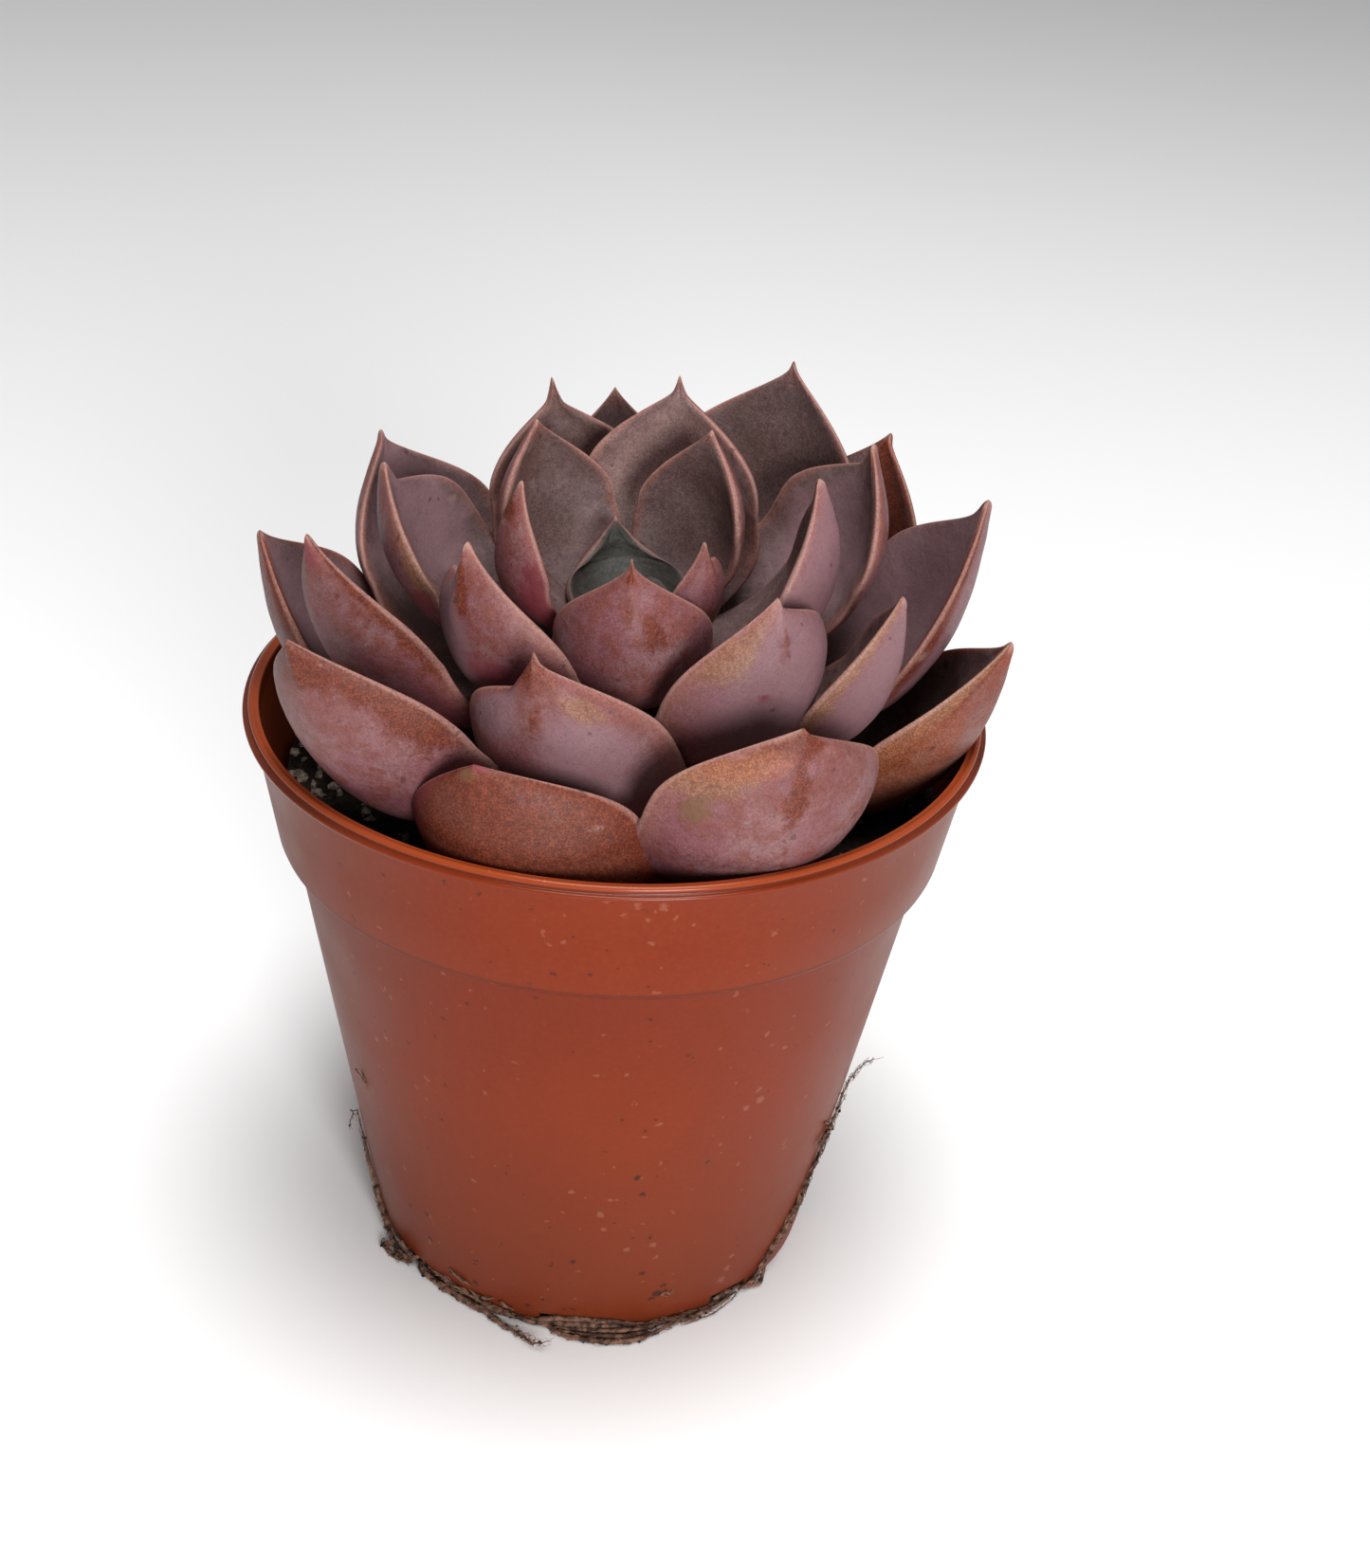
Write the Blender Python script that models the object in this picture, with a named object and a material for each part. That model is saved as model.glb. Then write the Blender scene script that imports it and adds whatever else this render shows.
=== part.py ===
"""Potted echeveria: a rosette of thick pointed leaves on a short stem, in a round plastic grower's pot.

Metres, +Z up. The origin is on the pot's axis, in the plane that the pot stands on.
The pot's front, as it is usually seen, faces -Y.
"""

import math

import bmesh
import bpy
from mathutils import Matrix, Vector, noise

MM = 0.001

# Pot
POT_HEIGHT = 77 * MM
RIM_RADIUS = 45 * MM
COLLAR_HEIGHT = 17 * MM
COLLAR_FOOT_RADIUS = 41.2 * MM
COLLAR_STEP = 0.5 * MM
BODY_TOP_RADIUS = 39.6 * MM
BASE_RADIUS = 29 * MM
BASE_CORNER = 0.4 * MM
WALL = 0.9 * MM
BASE_THICKNESS = 1.2 * MM
INNER_CORNER = 0.6 * MM
LIP_WIDTH = 2 * MM
LIP_DROP = 1.4 * MM
LIP_OVERHANG = 0.8 * MM
POT_SIDES = 72

# Drain slots, cut through the corner between the base and the wall
SLOT_COUNT = 8
SLOT_FIRST_ANGLE = -50
SLOT_WIDTH = 6 * MM
SLOT_INNER_RADIUS = 19 * MM
SLOT_HEIGHT = 2 * MM

# Gap left between pieces that touch
SEAT = 0.3 * MM

# Soil
SOIL_EDGE_HEIGHT = 66.3 * MM
SOIL_MIDDLE_HEIGHT = 62.7 * MM
SOIL_ROUGHNESS = 0.7 * MM
SOIL_LUMP = 6 * MM
SOIL_SIDES = 40

# Crown: the stem and its leaves lean forward, towards -Y
CROWN_BASE = Vector((1 * MM, 3 * MM, 66 * MM))
CROWN_LEAN = math.radians(10)
# Heights of the stem's cross-sections, in millimetres above the crown's base
STEM_HEIGHTS = (-14, -9, -4, 0, 3, 6, 10, 13, 15, 20, 24)
STEM_SIDES = 20

# Leaf spiral: each leaf is turned by the golden angle from the one before it
GOLDEN_ANGLE = 137.5
HEART_ANGLE = -70
LOWEST_LEAF_HEIGHT = 1.2 * MM
LEAF_PITCH = 0.7 * MM

# The outer leaves at the front start lower, by this slope in degrees
FIRST_SAGGING_LEAF = 13
FRONT_SAG = 10

# Leaf section and outline
LEAF_WRAP = 0.92
LEAF_CUP = 0.25
LEAF_BASE_SHARE = 0.24
LEAF_MARGIN_LIMIT = 2.6 * MM
LEAF_POINT = 0.4 * MM
LEAF_STATIONS = (0, 0.1, 0.24, 0.38, 0.52, 0.65, 0.77, 0.87, 0.945, 1)
# Across, as a share of the half width, and up, as a share of the thickness
LEAF_SECTION = ((-1, 0.22), (-0.55, 0.5), (0, 0.42), (0.55, 0.5), (1, 0.22),
                (1, -0.12), (0.6, -0.42), (0, -0.58), (-0.6, -0.42), (-1, -0.12))

# One row for each leaf, from the heart outwards: turn away from the spiral and sweep of the tip,
# in degrees; tip radius, tip height and width, in millimetres; slope of the tip and roll about the
# middle line, in degrees.
# None stands for an old leaf that has been shed.
LEAVES = (
    (0, 0, 2.6, 25, 5, 95, 0),
    (0, 0, 3.6, 25.5, 6, 98, 0),
    (0, 0, 5.4, 26.5, 8.5, 98, 0),
    (0, 0, 7.6, 27.5, 11.5, 102, 0),
    (4, 0, 10, 29.5, 16.5, 100, 0),
    (-4, 0, 10.5, 38, 12, 95, 0),
    (10, 0, 13.5, 42.5, 14.5, 100, 0),
    (6, 0, 14, 41.5, 18.5, 98, 0),
    (2, -3, 14.5, 39, 22.5, 112, 0),
    (-2, 0, 18, 39.8, 20, 95, 0),
    (-7, 7, 20.5, 44, 22, 92, 0),
    (9, -9, 23, 41, 24, 98, 0),
    (-4, 3, 23, 42, 25.5, 92, 0),
    (5, 3, 25, 39, 26.5, 110, 0),
    (0, 0, 31, 36.5, 24, 82, 0),
    (0, 0, 31.5, 39, 25, 82, 0),
    (9, -10, 28.5, 36, 29.5, 120, 0),
    (-3, 3, 29.5, 38, 25, 85, 0),
    (-1, 0, 34, 36.5, 24, 84, 0),
    (4, -4, 38, 39, 25.5, 80, 0),
    (-3, 3, 37.6, 39.3, 28.5, 82, 0),
    (16, 1, 39, 33, 30.5, 112, 0),
    (0, 0, 39, 32, 26, 80, 0),
    (0, 0, 42, 38, 27, 78, 0),
    (-2, -9, 46, 37, 26, 74, 20),
    (4, 0, 40.5, 29.5, 23, 82, 0),
    None,
    (0, 0, 44, 30, 25, 78, 0),
    (3, 0, 43.5, 31.5, 24, 80, 0),
    (-6, -10, 39.5, 28, 26.5, 104, 12),
    (0, 0, 43, 19, 23, 78, 0),
    (0, 0, 44, 28, 25, 76, 0),
    None,
    (0, 0, 43, 20, 24, 76, 0),
)

# Roots that have grown out of the drain slots: angle round the pot, height and distance from the wall,
# in degrees and millimetres
ROOT_RADIUS = 0.45 * MM
ROOT_STEP = 1.5 * MM
ROOTS = {
    "root_left": ((-142, 1, -2), (-143, 1, 0.8), (-149, 1, 0.8), (-155, 1.6, 0.8), (-160, 5, 0.8),
                  (-162, 10, 0.8), (-162, 14, 0.8), (-163, 17, 1.2)),
    "root_hook": ((-138, 1, -2), (-137, 1, 0.8), (-130, 0.8, 0.8), (-120, 0.8, 0.8), (-112, 0.8, 1.4),
                  (-106, 0.8, 3), (-101, 0.8, 4.6), (-97, 1.2, 4.4)),
    "root_front": ((-95, 1, -2), (-95, 1, 1), (-91, 0.8, 2.6), (-84, 0.8, 3), (-75, 0.8, 2), (-67, 0.8, 1),
                   (-56, 0.8, 0.8)),
    "root_right": ((-50, 1, -2), (-48, 1, 0.8), (-43, 1, 0.8), (-38, 2, 0.8), (-34, 5, 0.8), (-30, 9, 0.8),
                   (-25, 15, 0.8), (-20, 22, 0.8), (-16, 27, 0.9), (-15, 29.5, 1.6), (-15, 30.5, 3)),
}


def clear_scene():
    for old in list(bpy.data.objects):
        bpy.data.objects.remove(old, do_unlink=True)


def make_material(name, colour, roughness):
    material = bpy.data.materials.new(name)
    material.use_nodes = True
    shader = material.node_tree.nodes["Principled BSDF"]
    shader.inputs["Base Color"].default_value = (*colour, 1)
    shader.inputs["Roughness"].default_value = roughness
    shader.inputs["Metallic"].default_value = 0
    material.diffuse_color = (*colour, 1)
    return material


def add_object(name, mesh_builder, material):
    mesh = bpy.data.meshes.new(name)
    mesh_builder.to_mesh(mesh)
    mesh_builder.free()
    mesh.materials.append(material)
    mesh.shade_smooth()
    mesh.set_sharp_from_angle(angle=math.radians(40))
    made = bpy.data.objects.new(name, mesh)
    bpy.context.collection.objects.link(made)
    return made


def ramp(value, *knots):
    """Straight lines between (place, value) pairs."""
    if value <= knots[0][0]:
        return knots[0][1]
    for (place, low), (next_place, high) in zip(knots, knots[1:]):
        if value <= next_place:
            return low + (high - low) * (value - place) / (next_place - place)
    return knots[-1][1]


def turned(profile, sides):
    """Spin an outline of (radius, height) points, from axis to axis, into a closed body."""
    bm = bmesh.new()
    points = [bm.verts.new((radius, 0, height)) for radius, height in profile]
    edges = [bm.edges.new(pair) for pair in zip(points, points[1:])]
    bmesh.ops.spin(bm, geom=points + edges, cent=(0, 0, 0), axis=(0, 0, 1), angle=math.tau, steps=sides,
                   use_merge=True)
    bmesh.ops.remove_doubles(bm, verts=bm.verts, dist=0.001 * MM)
    bmesh.ops.recalc_face_normals(bm, faces=bm.faces)
    return bm


def cut_away(body, cutter):
    """Cut one body with another, which stays hidden."""
    cutter.hide_render = True
    cutter.display_type = "WIRE"
    cut = body.modifiers.new("cut", "BOOLEAN")
    cut.operation = "DIFFERENCE"
    cut.solver = "EXACT"
    cut.object = cutter


def crown_matrix():
    return Matrix.Translation(CROWN_BASE) @ Matrix.Rotation(CROWN_LEAN, 4, "X")


def wall_radius(height):
    """The pot's outer radius on its tapered body."""
    return ramp(height, (0, BASE_RADIUS), (POT_HEIGHT - COLLAR_HEIGHT, BODY_TOP_RADIUS))


def add_pot(material):
    collar_foot = POT_HEIGHT - COLLAR_HEIGHT
    lip_inner = RIM_RADIUS - LIP_WIDTH
    profile = (
        (0, 0),
        (BASE_RADIUS - BASE_CORNER, 0),
        (BASE_RADIUS, BASE_CORNER),
        (BODY_TOP_RADIUS, collar_foot),
        (COLLAR_FOOT_RADIUS, collar_foot + COLLAR_STEP),
        (RIM_RADIUS - LIP_OVERHANG, POT_HEIGHT - LIP_DROP),
        (RIM_RADIUS, POT_HEIGHT - LIP_DROP),
        (RIM_RADIUS, POT_HEIGHT - 0.5 * LIP_DROP),
        (RIM_RADIUS - 0.5 * LIP_WIDTH, POT_HEIGHT),
        (lip_inner, POT_HEIGHT - 0.3 * LIP_DROP),
        (lip_inner, POT_HEIGHT - LIP_DROP),
        (COLLAR_FOOT_RADIUS - WALL, collar_foot + COLLAR_STEP - 0.2 * WALL),
        (BODY_TOP_RADIUS - WALL, collar_foot - 0.7 * WALL),
        (BASE_RADIUS - WALL, BASE_THICKNESS + INNER_CORNER),
        (BASE_RADIUS - WALL - INNER_CORNER, BASE_THICKNESS),
        (0, BASE_THICKNESS),
    )
    pot = add_object("pot", turned(profile, POT_SIDES), material)
    cut_away(pot, add_slot_cutter(material))


def add_slot_cutter(material):
    """A block for each slot, standing half below the base and out through the wall."""
    length = BASE_RADIUS + SLOT_HEIGHT - SLOT_INNER_RADIUS
    bm = bmesh.new()
    for number in range(SLOT_COUNT):
        turn = Matrix.Rotation(math.radians(SLOT_FIRST_ANGLE + number * 360 / SLOT_COUNT), 4, "Z")
        place = Matrix.Translation((SLOT_INNER_RADIUS + length / 2, 0, 0))
        size = Matrix.Diagonal((length, SLOT_WIDTH, 2 * SLOT_HEIGHT, 1))
        bmesh.ops.create_cube(bm, size=1, matrix=turn @ place @ size)
    return add_object("slot_cutter", bm, material)


def add_soil(material):
    """The root ball: peat that fills the pot, a little lower in the middle, with a socket for the stem."""
    collar_foot = POT_HEIGHT - COLLAR_HEIGHT
    wall_gap = WALL + SEAT
    floor = BASE_THICKNESS + SEAT
    profile = (
        (0, floor),
        (BASE_RADIUS - WALL - 2 * INNER_CORNER, floor),
        (BASE_RADIUS - wall_gap, floor + 1 * MM),
        (BODY_TOP_RADIUS - wall_gap, collar_foot - 0.4 * MM),
        (COLLAR_FOOT_RADIUS - wall_gap, collar_foot + 0.6 * MM),
        (COLLAR_FOOT_RADIUS - WALL, SOIL_EDGE_HEIGHT - 1 * MM),
        (38 * MM, SOIL_EDGE_HEIGHT),
        (34 * MM, SOIL_EDGE_HEIGHT - 1.2 * MM),
        (29 * MM, SOIL_MIDDLE_HEIGHT + 0.8 * MM),
        (23 * MM, SOIL_MIDDLE_HEIGHT + 0.3 * MM),
        (16 * MM, SOIL_MIDDLE_HEIGHT),
        (10 * MM, SOIL_MIDDLE_HEIGHT),
        (0, SOIL_MIDDLE_HEIGHT),
    )
    bm = turned(profile, SOIL_SIDES)
    for vert in bm.verts:
        on_top = vert.co.z > SOIL_MIDDLE_HEIGHT - 1 * MM
        clear_of_wall = vert.co.xy.length < COLLAR_FOOT_RADIUS - 2 * WALL
        if on_top and clear_of_wall:
            vert.co.z += SOIL_ROUGHNESS * noise.noise(vert.co / SOIL_LUMP)
    soil = add_object("soil", bm, material)
    cut_away(soil, add_stem_body("stem_socket", SEAT, material))


def stem_radius(height):
    """The stem's radius at a height in millimetres above the crown's base."""
    return MM * ramp(height, (-14, 3), (-4, 5.6), (3, 6.3), (10, 5.6), (13, 5.1), (15, 4.1),
                     (20, 2.7), (24, 0.8))


def add_stem_body(name, growth, material):
    """The stem, or with some growth the socket that it stands in."""
    low, high = STEM_HEIGHTS[0] * MM - growth, STEM_HEIGHTS[-1] * MM + growth
    profile = [(0, low), (stem_radius(STEM_HEIGHTS[0]) + growth, low)]
    profile += [(stem_radius(height) + growth, height * MM) for height in STEM_HEIGHTS[1:]]
    profile.append((0, high))
    bm = turned(profile, STEM_SIDES)
    bmesh.ops.transform(bm, matrix=crown_matrix(), verts=bm.verts)
    return add_object(name, bm, material)


def leaf_angle(order, turn):
    return math.radians(HEART_ANGLE - GOLDEN_ANGLE * order + turn)


def leaf_start(order):
    """Where a leaf leaves the stem, as (radius, height), and its slope there."""
    radius = ramp(order, (-1, 1.2), (16, 6), (33, 7)) * MM
    height = LOWEST_LEAF_HEIGHT + LEAF_PITCH * (len(LEAVES) - 1 - order)
    slope = ramp(order, (-1, 60), (5, 30), (8, 18), (16, 10), (24, 4), (33, 0))
    if order >= FIRST_SAGGING_LEAF:
        slope -= FRONT_SAG * max(0, math.cos(leaf_angle(order, 90)))
    return Vector((radius, height)), math.radians(slope)


def leaf_width_share(station, order):
    """The outline: narrow at the stem, widest past the middle, and pointed."""
    widest = ramp(order, (0, 0.45), (8, 0.6), (16, 0.66))
    power = ramp(order, (0, 1.5), (8, 1.9), (16, 2.2))
    if station < widest:
        rise = math.sin(station / widest * math.pi / 2) ** 1.25
        return LEAF_BASE_SHARE + (1 - LEAF_BASE_SHARE) * rise
    return 1 - ((station - widest) / (1 - widest)) ** power


def leaf_middle_line(order, tip, tip_slope):
    """The four control points, as (radius, height), of the line that a leaf follows."""
    start, slope = leaf_start(order)
    span = (tip - start).length
    first = start + 0.6 * span * Vector((math.cos(slope), math.sin(slope)))
    reach = 0.48 + 0.0022 * max(0, tip_slope - 90)
    end_slope = math.radians(tip_slope)
    second = tip - reach * span * Vector((math.cos(end_slope), math.sin(end_slope)))
    return start, first, second, tip


def leaf_ring(order, row, station):
    """One cross-section of a leaf, as points in the crown's frame."""
    turn, sweep, tip_radius, tip_height, width, tip_slope, roll = row
    a, b, c, d = leaf_middle_line(order, Vector((tip_radius, tip_height)) * MM, tip_slope)
    t, u = station, 1 - station
    centre = u ** 3 * a + 3 * u * u * t * b + 3 * u * t * t * c + t ** 3 * d
    along = (3 * u * u * (b - a) + 6 * u * t * (c - b) + 3 * t * t * (d - c)).normalized()
    up = Vector((-along.y, along.x))
    half = max(width * MM / 2 * leaf_width_share(station, order), LEAF_POINT)
    thickness = min(4, 1.4 + 0.11 * width) * MM
    thickness *= ramp(station, (0, 0.55), (0.15, 0.62), (0.5, 0.95), (0.8, 0.88), (0.93, 0.55), (1, 0.25))
    cup = LEAF_CUP * (0.3 + 0.7 * min(1, station / 0.62) ** 2)
    angle = leaf_angle(order, turn + sweep * station ** 2)
    lean = math.radians(roll) * math.sin(min(1, station / 0.6) * math.pi / 2)
    wrap_radius = max(centre.x, 2 * MM) / LEAF_WRAP
    ring = []
    for across, rise in LEAF_SECTION:
        depth = min(thickness, LEAF_MARGIN_LIMIT) if abs(across) == 1 else thickness
        side = across * half
        lift = rise * depth + cup * half * across ** 2
        side, lift = Matrix.Rotation(lean, 2) @ Vector((side, lift))
        bend = side / wrap_radius
        reach = wrap_radius + lift * up.x
        outward = centre.x - wrap_radius + reach * math.cos(bend)
        sideways = reach * math.sin(bend)
        ring.append(Vector((outward * math.cos(angle) - sideways * math.sin(angle),
                            outward * math.sin(angle) + sideways * math.cos(angle),
                            centre.y + lift * up.y)))
    return ring


def add_leaf(name, order, row, material):
    """A leaf is a skin over its cross-sections, closed at both ends."""
    bm = bmesh.new()
    frame = crown_matrix()
    rings = [[bm.verts.new(frame @ point) for point in leaf_ring(order, row, station)]
             for station in LEAF_STATIONS]
    for ring, next_ring in zip(rings, rings[1:]):
        for corner in range(len(ring)):
            before = corner - 1
            bm.faces.new((ring[before], next_ring[before], next_ring[corner], ring[corner]))
    bm.faces.new(rings[0])
    bm.faces.new(reversed(rings[-1]))
    bmesh.ops.triangulate(bm, faces=bm.faces)
    bmesh.ops.recalc_face_normals(bm, faces=bm.faces)
    return add_object(name, bm, material)


def leaf_colour(order):
    """Dark green-brown at the heart, mauve further out, and rust on the oldest leaves."""
    if order < 5:
        return (0.05, 0.06, 0.05)
    if order < 26:
        return (0.22, 0.13, 0.14)
    return (0.24, 0.1, 0.08)


def add_leaves():
    number = 0
    for order, row in enumerate(LEAVES):
        if row is None:
            continue
        number += 1
        name = f"leaf_{number:02d}"
        add_leaf(name, order, row, make_material(name, leaf_colour(order), 0.55))


def smooth_route(points):
    """Points close together on a smooth curve through the given ones."""
    route = []
    ends = [points[0] * 2 - points[1]] + points + [points[-1] * 2 - points[-2]]
    for before, start, end, after in zip(ends, ends[1:], ends[2:], ends[3:]):
        steps = max(2, round((end - start).length / ROOT_STEP))
        for step in range(steps):
            t = step / steps
            route.append(0.5 * (2 * start + (end - before) * t
                                + (2 * before - 5 * start + 4 * end - after) * t ** 2
                                + (3 * start - before - 3 * end + after) * t ** 3))
    return route + [points[-1]]


def add_root(name, stops, material):
    points = []
    for angle, height, distance in stops:
        radius = wall_radius(height * MM) + distance * MM
        turn = math.radians(angle)
        points.append(Vector((radius * math.cos(turn), radius * math.sin(turn), height * MM)))
    route = smooth_route(points)
    curve = bpy.data.curves.new(name, "CURVE")
    curve.dimensions = "3D"
    curve.bevel_depth = ROOT_RADIUS
    curve.bevel_resolution = 1
    curve.use_fill_caps = True
    spline = curve.splines.new("POLY")
    spline.points.add(len(route) - 1)
    for point, place in zip(spline.points, route):
        point.co = (*place, 1)
    curve.materials.append(material)
    bpy.context.collection.objects.link(bpy.data.objects.new(name, curve))


def build():
    clear_scene()
    terracotta = make_material("terracotta_plastic", (0.29, 0.055, 0.02), 0.42)
    peat = make_material("peat", (0.02, 0.014, 0.01), 0.95)
    bark = make_material("stem_bark", (0.12, 0.1, 0.06), 0.7)
    root_skin = make_material("root_skin", (0.16, 0.11, 0.07), 0.85)
    add_pot(terracotta)
    add_soil(peat)
    add_stem_body("stem", 0, bark)
    add_leaves()
    for name, stops in ROOTS.items():
        add_root(name, stops, root_skin)


build()
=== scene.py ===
"""Potted echeveria in a round grower's pot, finished for close views. Metres, +Z up, front towards -Y."""

import math

import bmesh
import bpy
from mathutils import Matrix, Vector, noise


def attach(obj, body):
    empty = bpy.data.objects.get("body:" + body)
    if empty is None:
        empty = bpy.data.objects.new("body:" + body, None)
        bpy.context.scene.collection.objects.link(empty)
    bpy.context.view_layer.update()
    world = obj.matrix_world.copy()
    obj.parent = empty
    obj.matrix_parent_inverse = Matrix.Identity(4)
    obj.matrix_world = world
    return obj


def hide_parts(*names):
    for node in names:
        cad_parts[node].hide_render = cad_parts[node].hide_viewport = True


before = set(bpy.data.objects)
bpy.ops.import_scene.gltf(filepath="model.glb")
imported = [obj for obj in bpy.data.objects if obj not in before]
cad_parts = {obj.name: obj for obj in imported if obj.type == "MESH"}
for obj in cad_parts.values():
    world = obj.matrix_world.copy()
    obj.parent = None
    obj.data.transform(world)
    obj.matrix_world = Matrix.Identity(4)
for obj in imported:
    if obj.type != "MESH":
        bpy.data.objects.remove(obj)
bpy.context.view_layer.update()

# Pot
# One thin-walled moulding in terracotta-coloured polypropylene, from a two-part tool: tapered wall, a collar that
# lets pots stack, a rolled lip, and drain slots cut through the corner of the base. It is satin, and scuffed with use.
MM = 0.001
POT_HEIGHT = 77 * MM
BASE_RADIUS = 29 * MM
BODY_TOP_RADIUS = 39.6 * MM
COLLAR_FOOT = 60 * MM
COLLAR_STEP = 1.6 * MM
POT_SIDES = 180
SLOT_COUNT = 8
FIRST_SLOT = -50
SLOT_DISTANCE = 25 * MM
SLOT_SIZE = (12 * MM, 6 * MM, 4 * MM)


def wall_radius(height):
    """The outer radius of the tapered wall."""
    return BASE_RADIUS + (BODY_TOP_RADIUS - BASE_RADIUS) * height / COLLAR_FOOT


def on_wall(azimuth, height, distance=0.0):
    """A point at an azimuth in degrees and a height and distance from the wall in metres."""
    radius = wall_radius(height) + distance
    turn = math.radians(azimuth)
    return Vector((radius * math.cos(turn), radius * math.sin(turn), height))


def close_mesh(name, bm):
    mesh = bpy.data.meshes.new(name)
    bm.to_mesh(mesh)
    bm.free()
    return mesh


def add_piece(name, mesh):
    piece = bpy.data.objects.new(name, mesh)
    bpy.context.collection.objects.link(piece)
    return piece


def new_object(name, bm, material):
    """Close a bmesh into a smooth object at the origin."""
    mesh = close_mesh(name, bm)
    mesh.materials.append(material)
    mesh.shade_smooth()
    return add_piece(name, mesh)


def finish_piece(piece, slot, *nodes):
    """Let a piece ride on the plant's one body, in place of the CAD nodes that it refines. The slot is not used."""
    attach(piece, "root")
    if nodes:
        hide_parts(*nodes)


def step_of(operation):
    """A method that runs one operation of the Math node on a wire's value."""
    return lambda self, *others: self.run(operation, *others)


class Wire:
    """A value on a node tree's wire, so that colours and shapes are written as they are worked out."""

    def __init__(self, tree, socket):
        self.tree, self.socket = tree, socket

    def run(self, operation, *others, clamp=False):
        return add_node(self.tree, "ShaderNodeMath", dict(enumerate((self, *others))), operation=operation,
                        use_clamp=clamp)

    __add__ = __radd__ = step_of("ADD")
    __mul__ = __rmul__ = step_of("MULTIPLY")
    __sub__, __truediv__, __pow__ = step_of("SUBTRACT"), step_of("DIVIDE"), step_of("POWER")
    __abs__, sin, cos, root = step_of("ABSOLUTE"), step_of("SINE"), step_of("COSINE"), step_of("SQRT")

    def __rsub__(self, other):
        return self * -1 + other

    def unit(self):
        """Held between 0 and 1."""
        return self.run("MULTIPLY", 1, clamp=True)

    def step(self, low, high, to_low=0.0, to_high=1.0):
        """A smooth step as this value goes from low to high."""
        return add_node(self.tree, "ShaderNodeMapRange", {
            "Value": self, "From Min": low, "From Max": high, "To Min": to_low, "To Max": to_high,
        }, interpolation_type="SMOOTHSTEP")

    def part(self, number):
        """The x, y or z of a place."""
        return add_node(self.tree, "ShaderNodeSeparateXYZ", {0: self}, number)

    def stretched(self, scale, location=(0, 0, 0)):
        return add_node(self.tree, "ShaderNodeMapping", {"Vector": self, "Scale": scale, "Location": location})

    def noise(self, scale, detail, roughness=0.55, distortion=0.0):
        return add_node(self.tree, "ShaderNodeTexNoise", {
            "Vector": self, "Scale": scale, "Detail": detail, "Roughness": roughness, "Distortion": distortion})

    def colours(self, first, second):
        """The first colour where this value is 0, the second where it is 1."""
        return add_node(self.tree, "ShaderNodeMix", {0: self, 6: first, 7: second}, 2, data_type="RGBA")

    def paint(self, mask, tint, blend="MIX"):
        """This colour with a tint over it where the mask says."""
        return add_node(self.tree, "ShaderNodeMix", {0: mask, 6: self, 7: tint}, 2, data_type="RGBA",
                        blend_type=blend)


def set_input(socket, value):
    """Link a value that is on a wire, or set one that is a number, colour or vector."""
    if isinstance(value, Wire):
        value.tree.links.new(value.socket, socket)
    elif socket.type == "RGBA":
        socket.default_value = (*value, 1)
    else:
        socket.default_value = value


def add_node(tree, kind, inputs=(), output=0, **settings):
    """Add a node with its settings and with inputs by name or number, and give the value that it puts out."""
    node = tree.nodes.new(kind)
    for name, value in settings.items():
        setattr(node, name, value)
    for key, value in dict(inputs).items():
        set_input(node.inputs[key], value)
    return Wire(tree, node.outputs[output])


def object_place(tree):
    return add_node(tree, "ShaderNodeTexCoord", output="Object")


def new_material(name, roughness, specular, coat_roughness=0.3):
    """A material with a Principled shader whose constant values sit on its own sockets."""
    material = bpy.data.materials.new(name)
    material.use_nodes = True
    shader = material.node_tree.nodes["Principled BSDF"].inputs
    shader["Roughness"].default_value = roughness
    shader["Specular IOR Level"].default_value = specular
    shader["Coat Roughness"].default_value = coat_roughness
    return material, shader, material.node_tree


def finish_surface(shader, colour, relief, strength, depth):
    """Give a shader its colour, and its relief as a bump of a depth in metres."""
    set_input(shader["Base Color"], colour)
    set_input(shader["Normal"], add_node(relief.tree, "ShaderNodeBump", {
        "Strength": strength, "Distance": depth, "Height": relief}))


# Wear on the wall: azimuth in degrees, height and radius in millimetres
PEAT_SPECKS = (
    (-80.5, 29, 0.5), (-79, 26, 0.35), (-93, 13, 0.35), (-137, 12.3, 0.45), (-131, 13, 0.35), (-131.5, 8.3, 0.4),
    (-76, 17.5, 0.35), (-119.5, 39.8, 0.3), (-121.5, 33.3, 0.25), (-72, 6, 0.7), (-73.6, 5.2, 0.5), (-71, 7.4, 0.4),
    (-76.5, 10.5, 0.45), (-97, 1.8, 0.5), (-87, 1.2, 0.4), (-66, 30, 0.3), (-104, 3, 0.4), (-118, 4.2, 0.5),
    (20, 9, 0.5), (63, 21, 0.4), (118, 7, 0.6), (160, 30, 0.3),
)
PALE_NICKS = (
    (-115.5, 24.3, 0.35), (-93.5, 26.3, 0.4), (-87.5, 22.3, 0.5), (-57.5, 40.8, 0.5), (-56.6, 38.8, 0.6),
    (-59.5, 38.2, 0.45), (-77.5, 38.3, 0.35), (-83, 69, 0.3), (-75, 16, 0.5), (-74, 13.5, 0.35), (-57, 48, 0.35),
    (-59, 50.3, 0.3), (-54, 4.8, 0.6), (-53, 6.7, 0.5), (-52.5, 9, 0.4), (-98, 68, 0.3), (-112, 57, 0.3),
    (-90, 75, 0.35), (-81, 15.5, 0.35), (-64, 68.5, 0.4), (-147, 31.5, 0.5), (-134, 42.5, 0.5), (-137, 41, 0.5),
    (-87.4, 73.1, 0.4), (-85.5, 74.5, 0.5), (-84, 72.4, 0.3), (-81.7, 74.2, 0.6), (-80, 72.6, 0.3), (-83, 73.6, 0.25),
    (40, 45, 0.5), (95, 66, 0.6), (140, 20, 0.4), (10, 33, 0.4),
)


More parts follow.
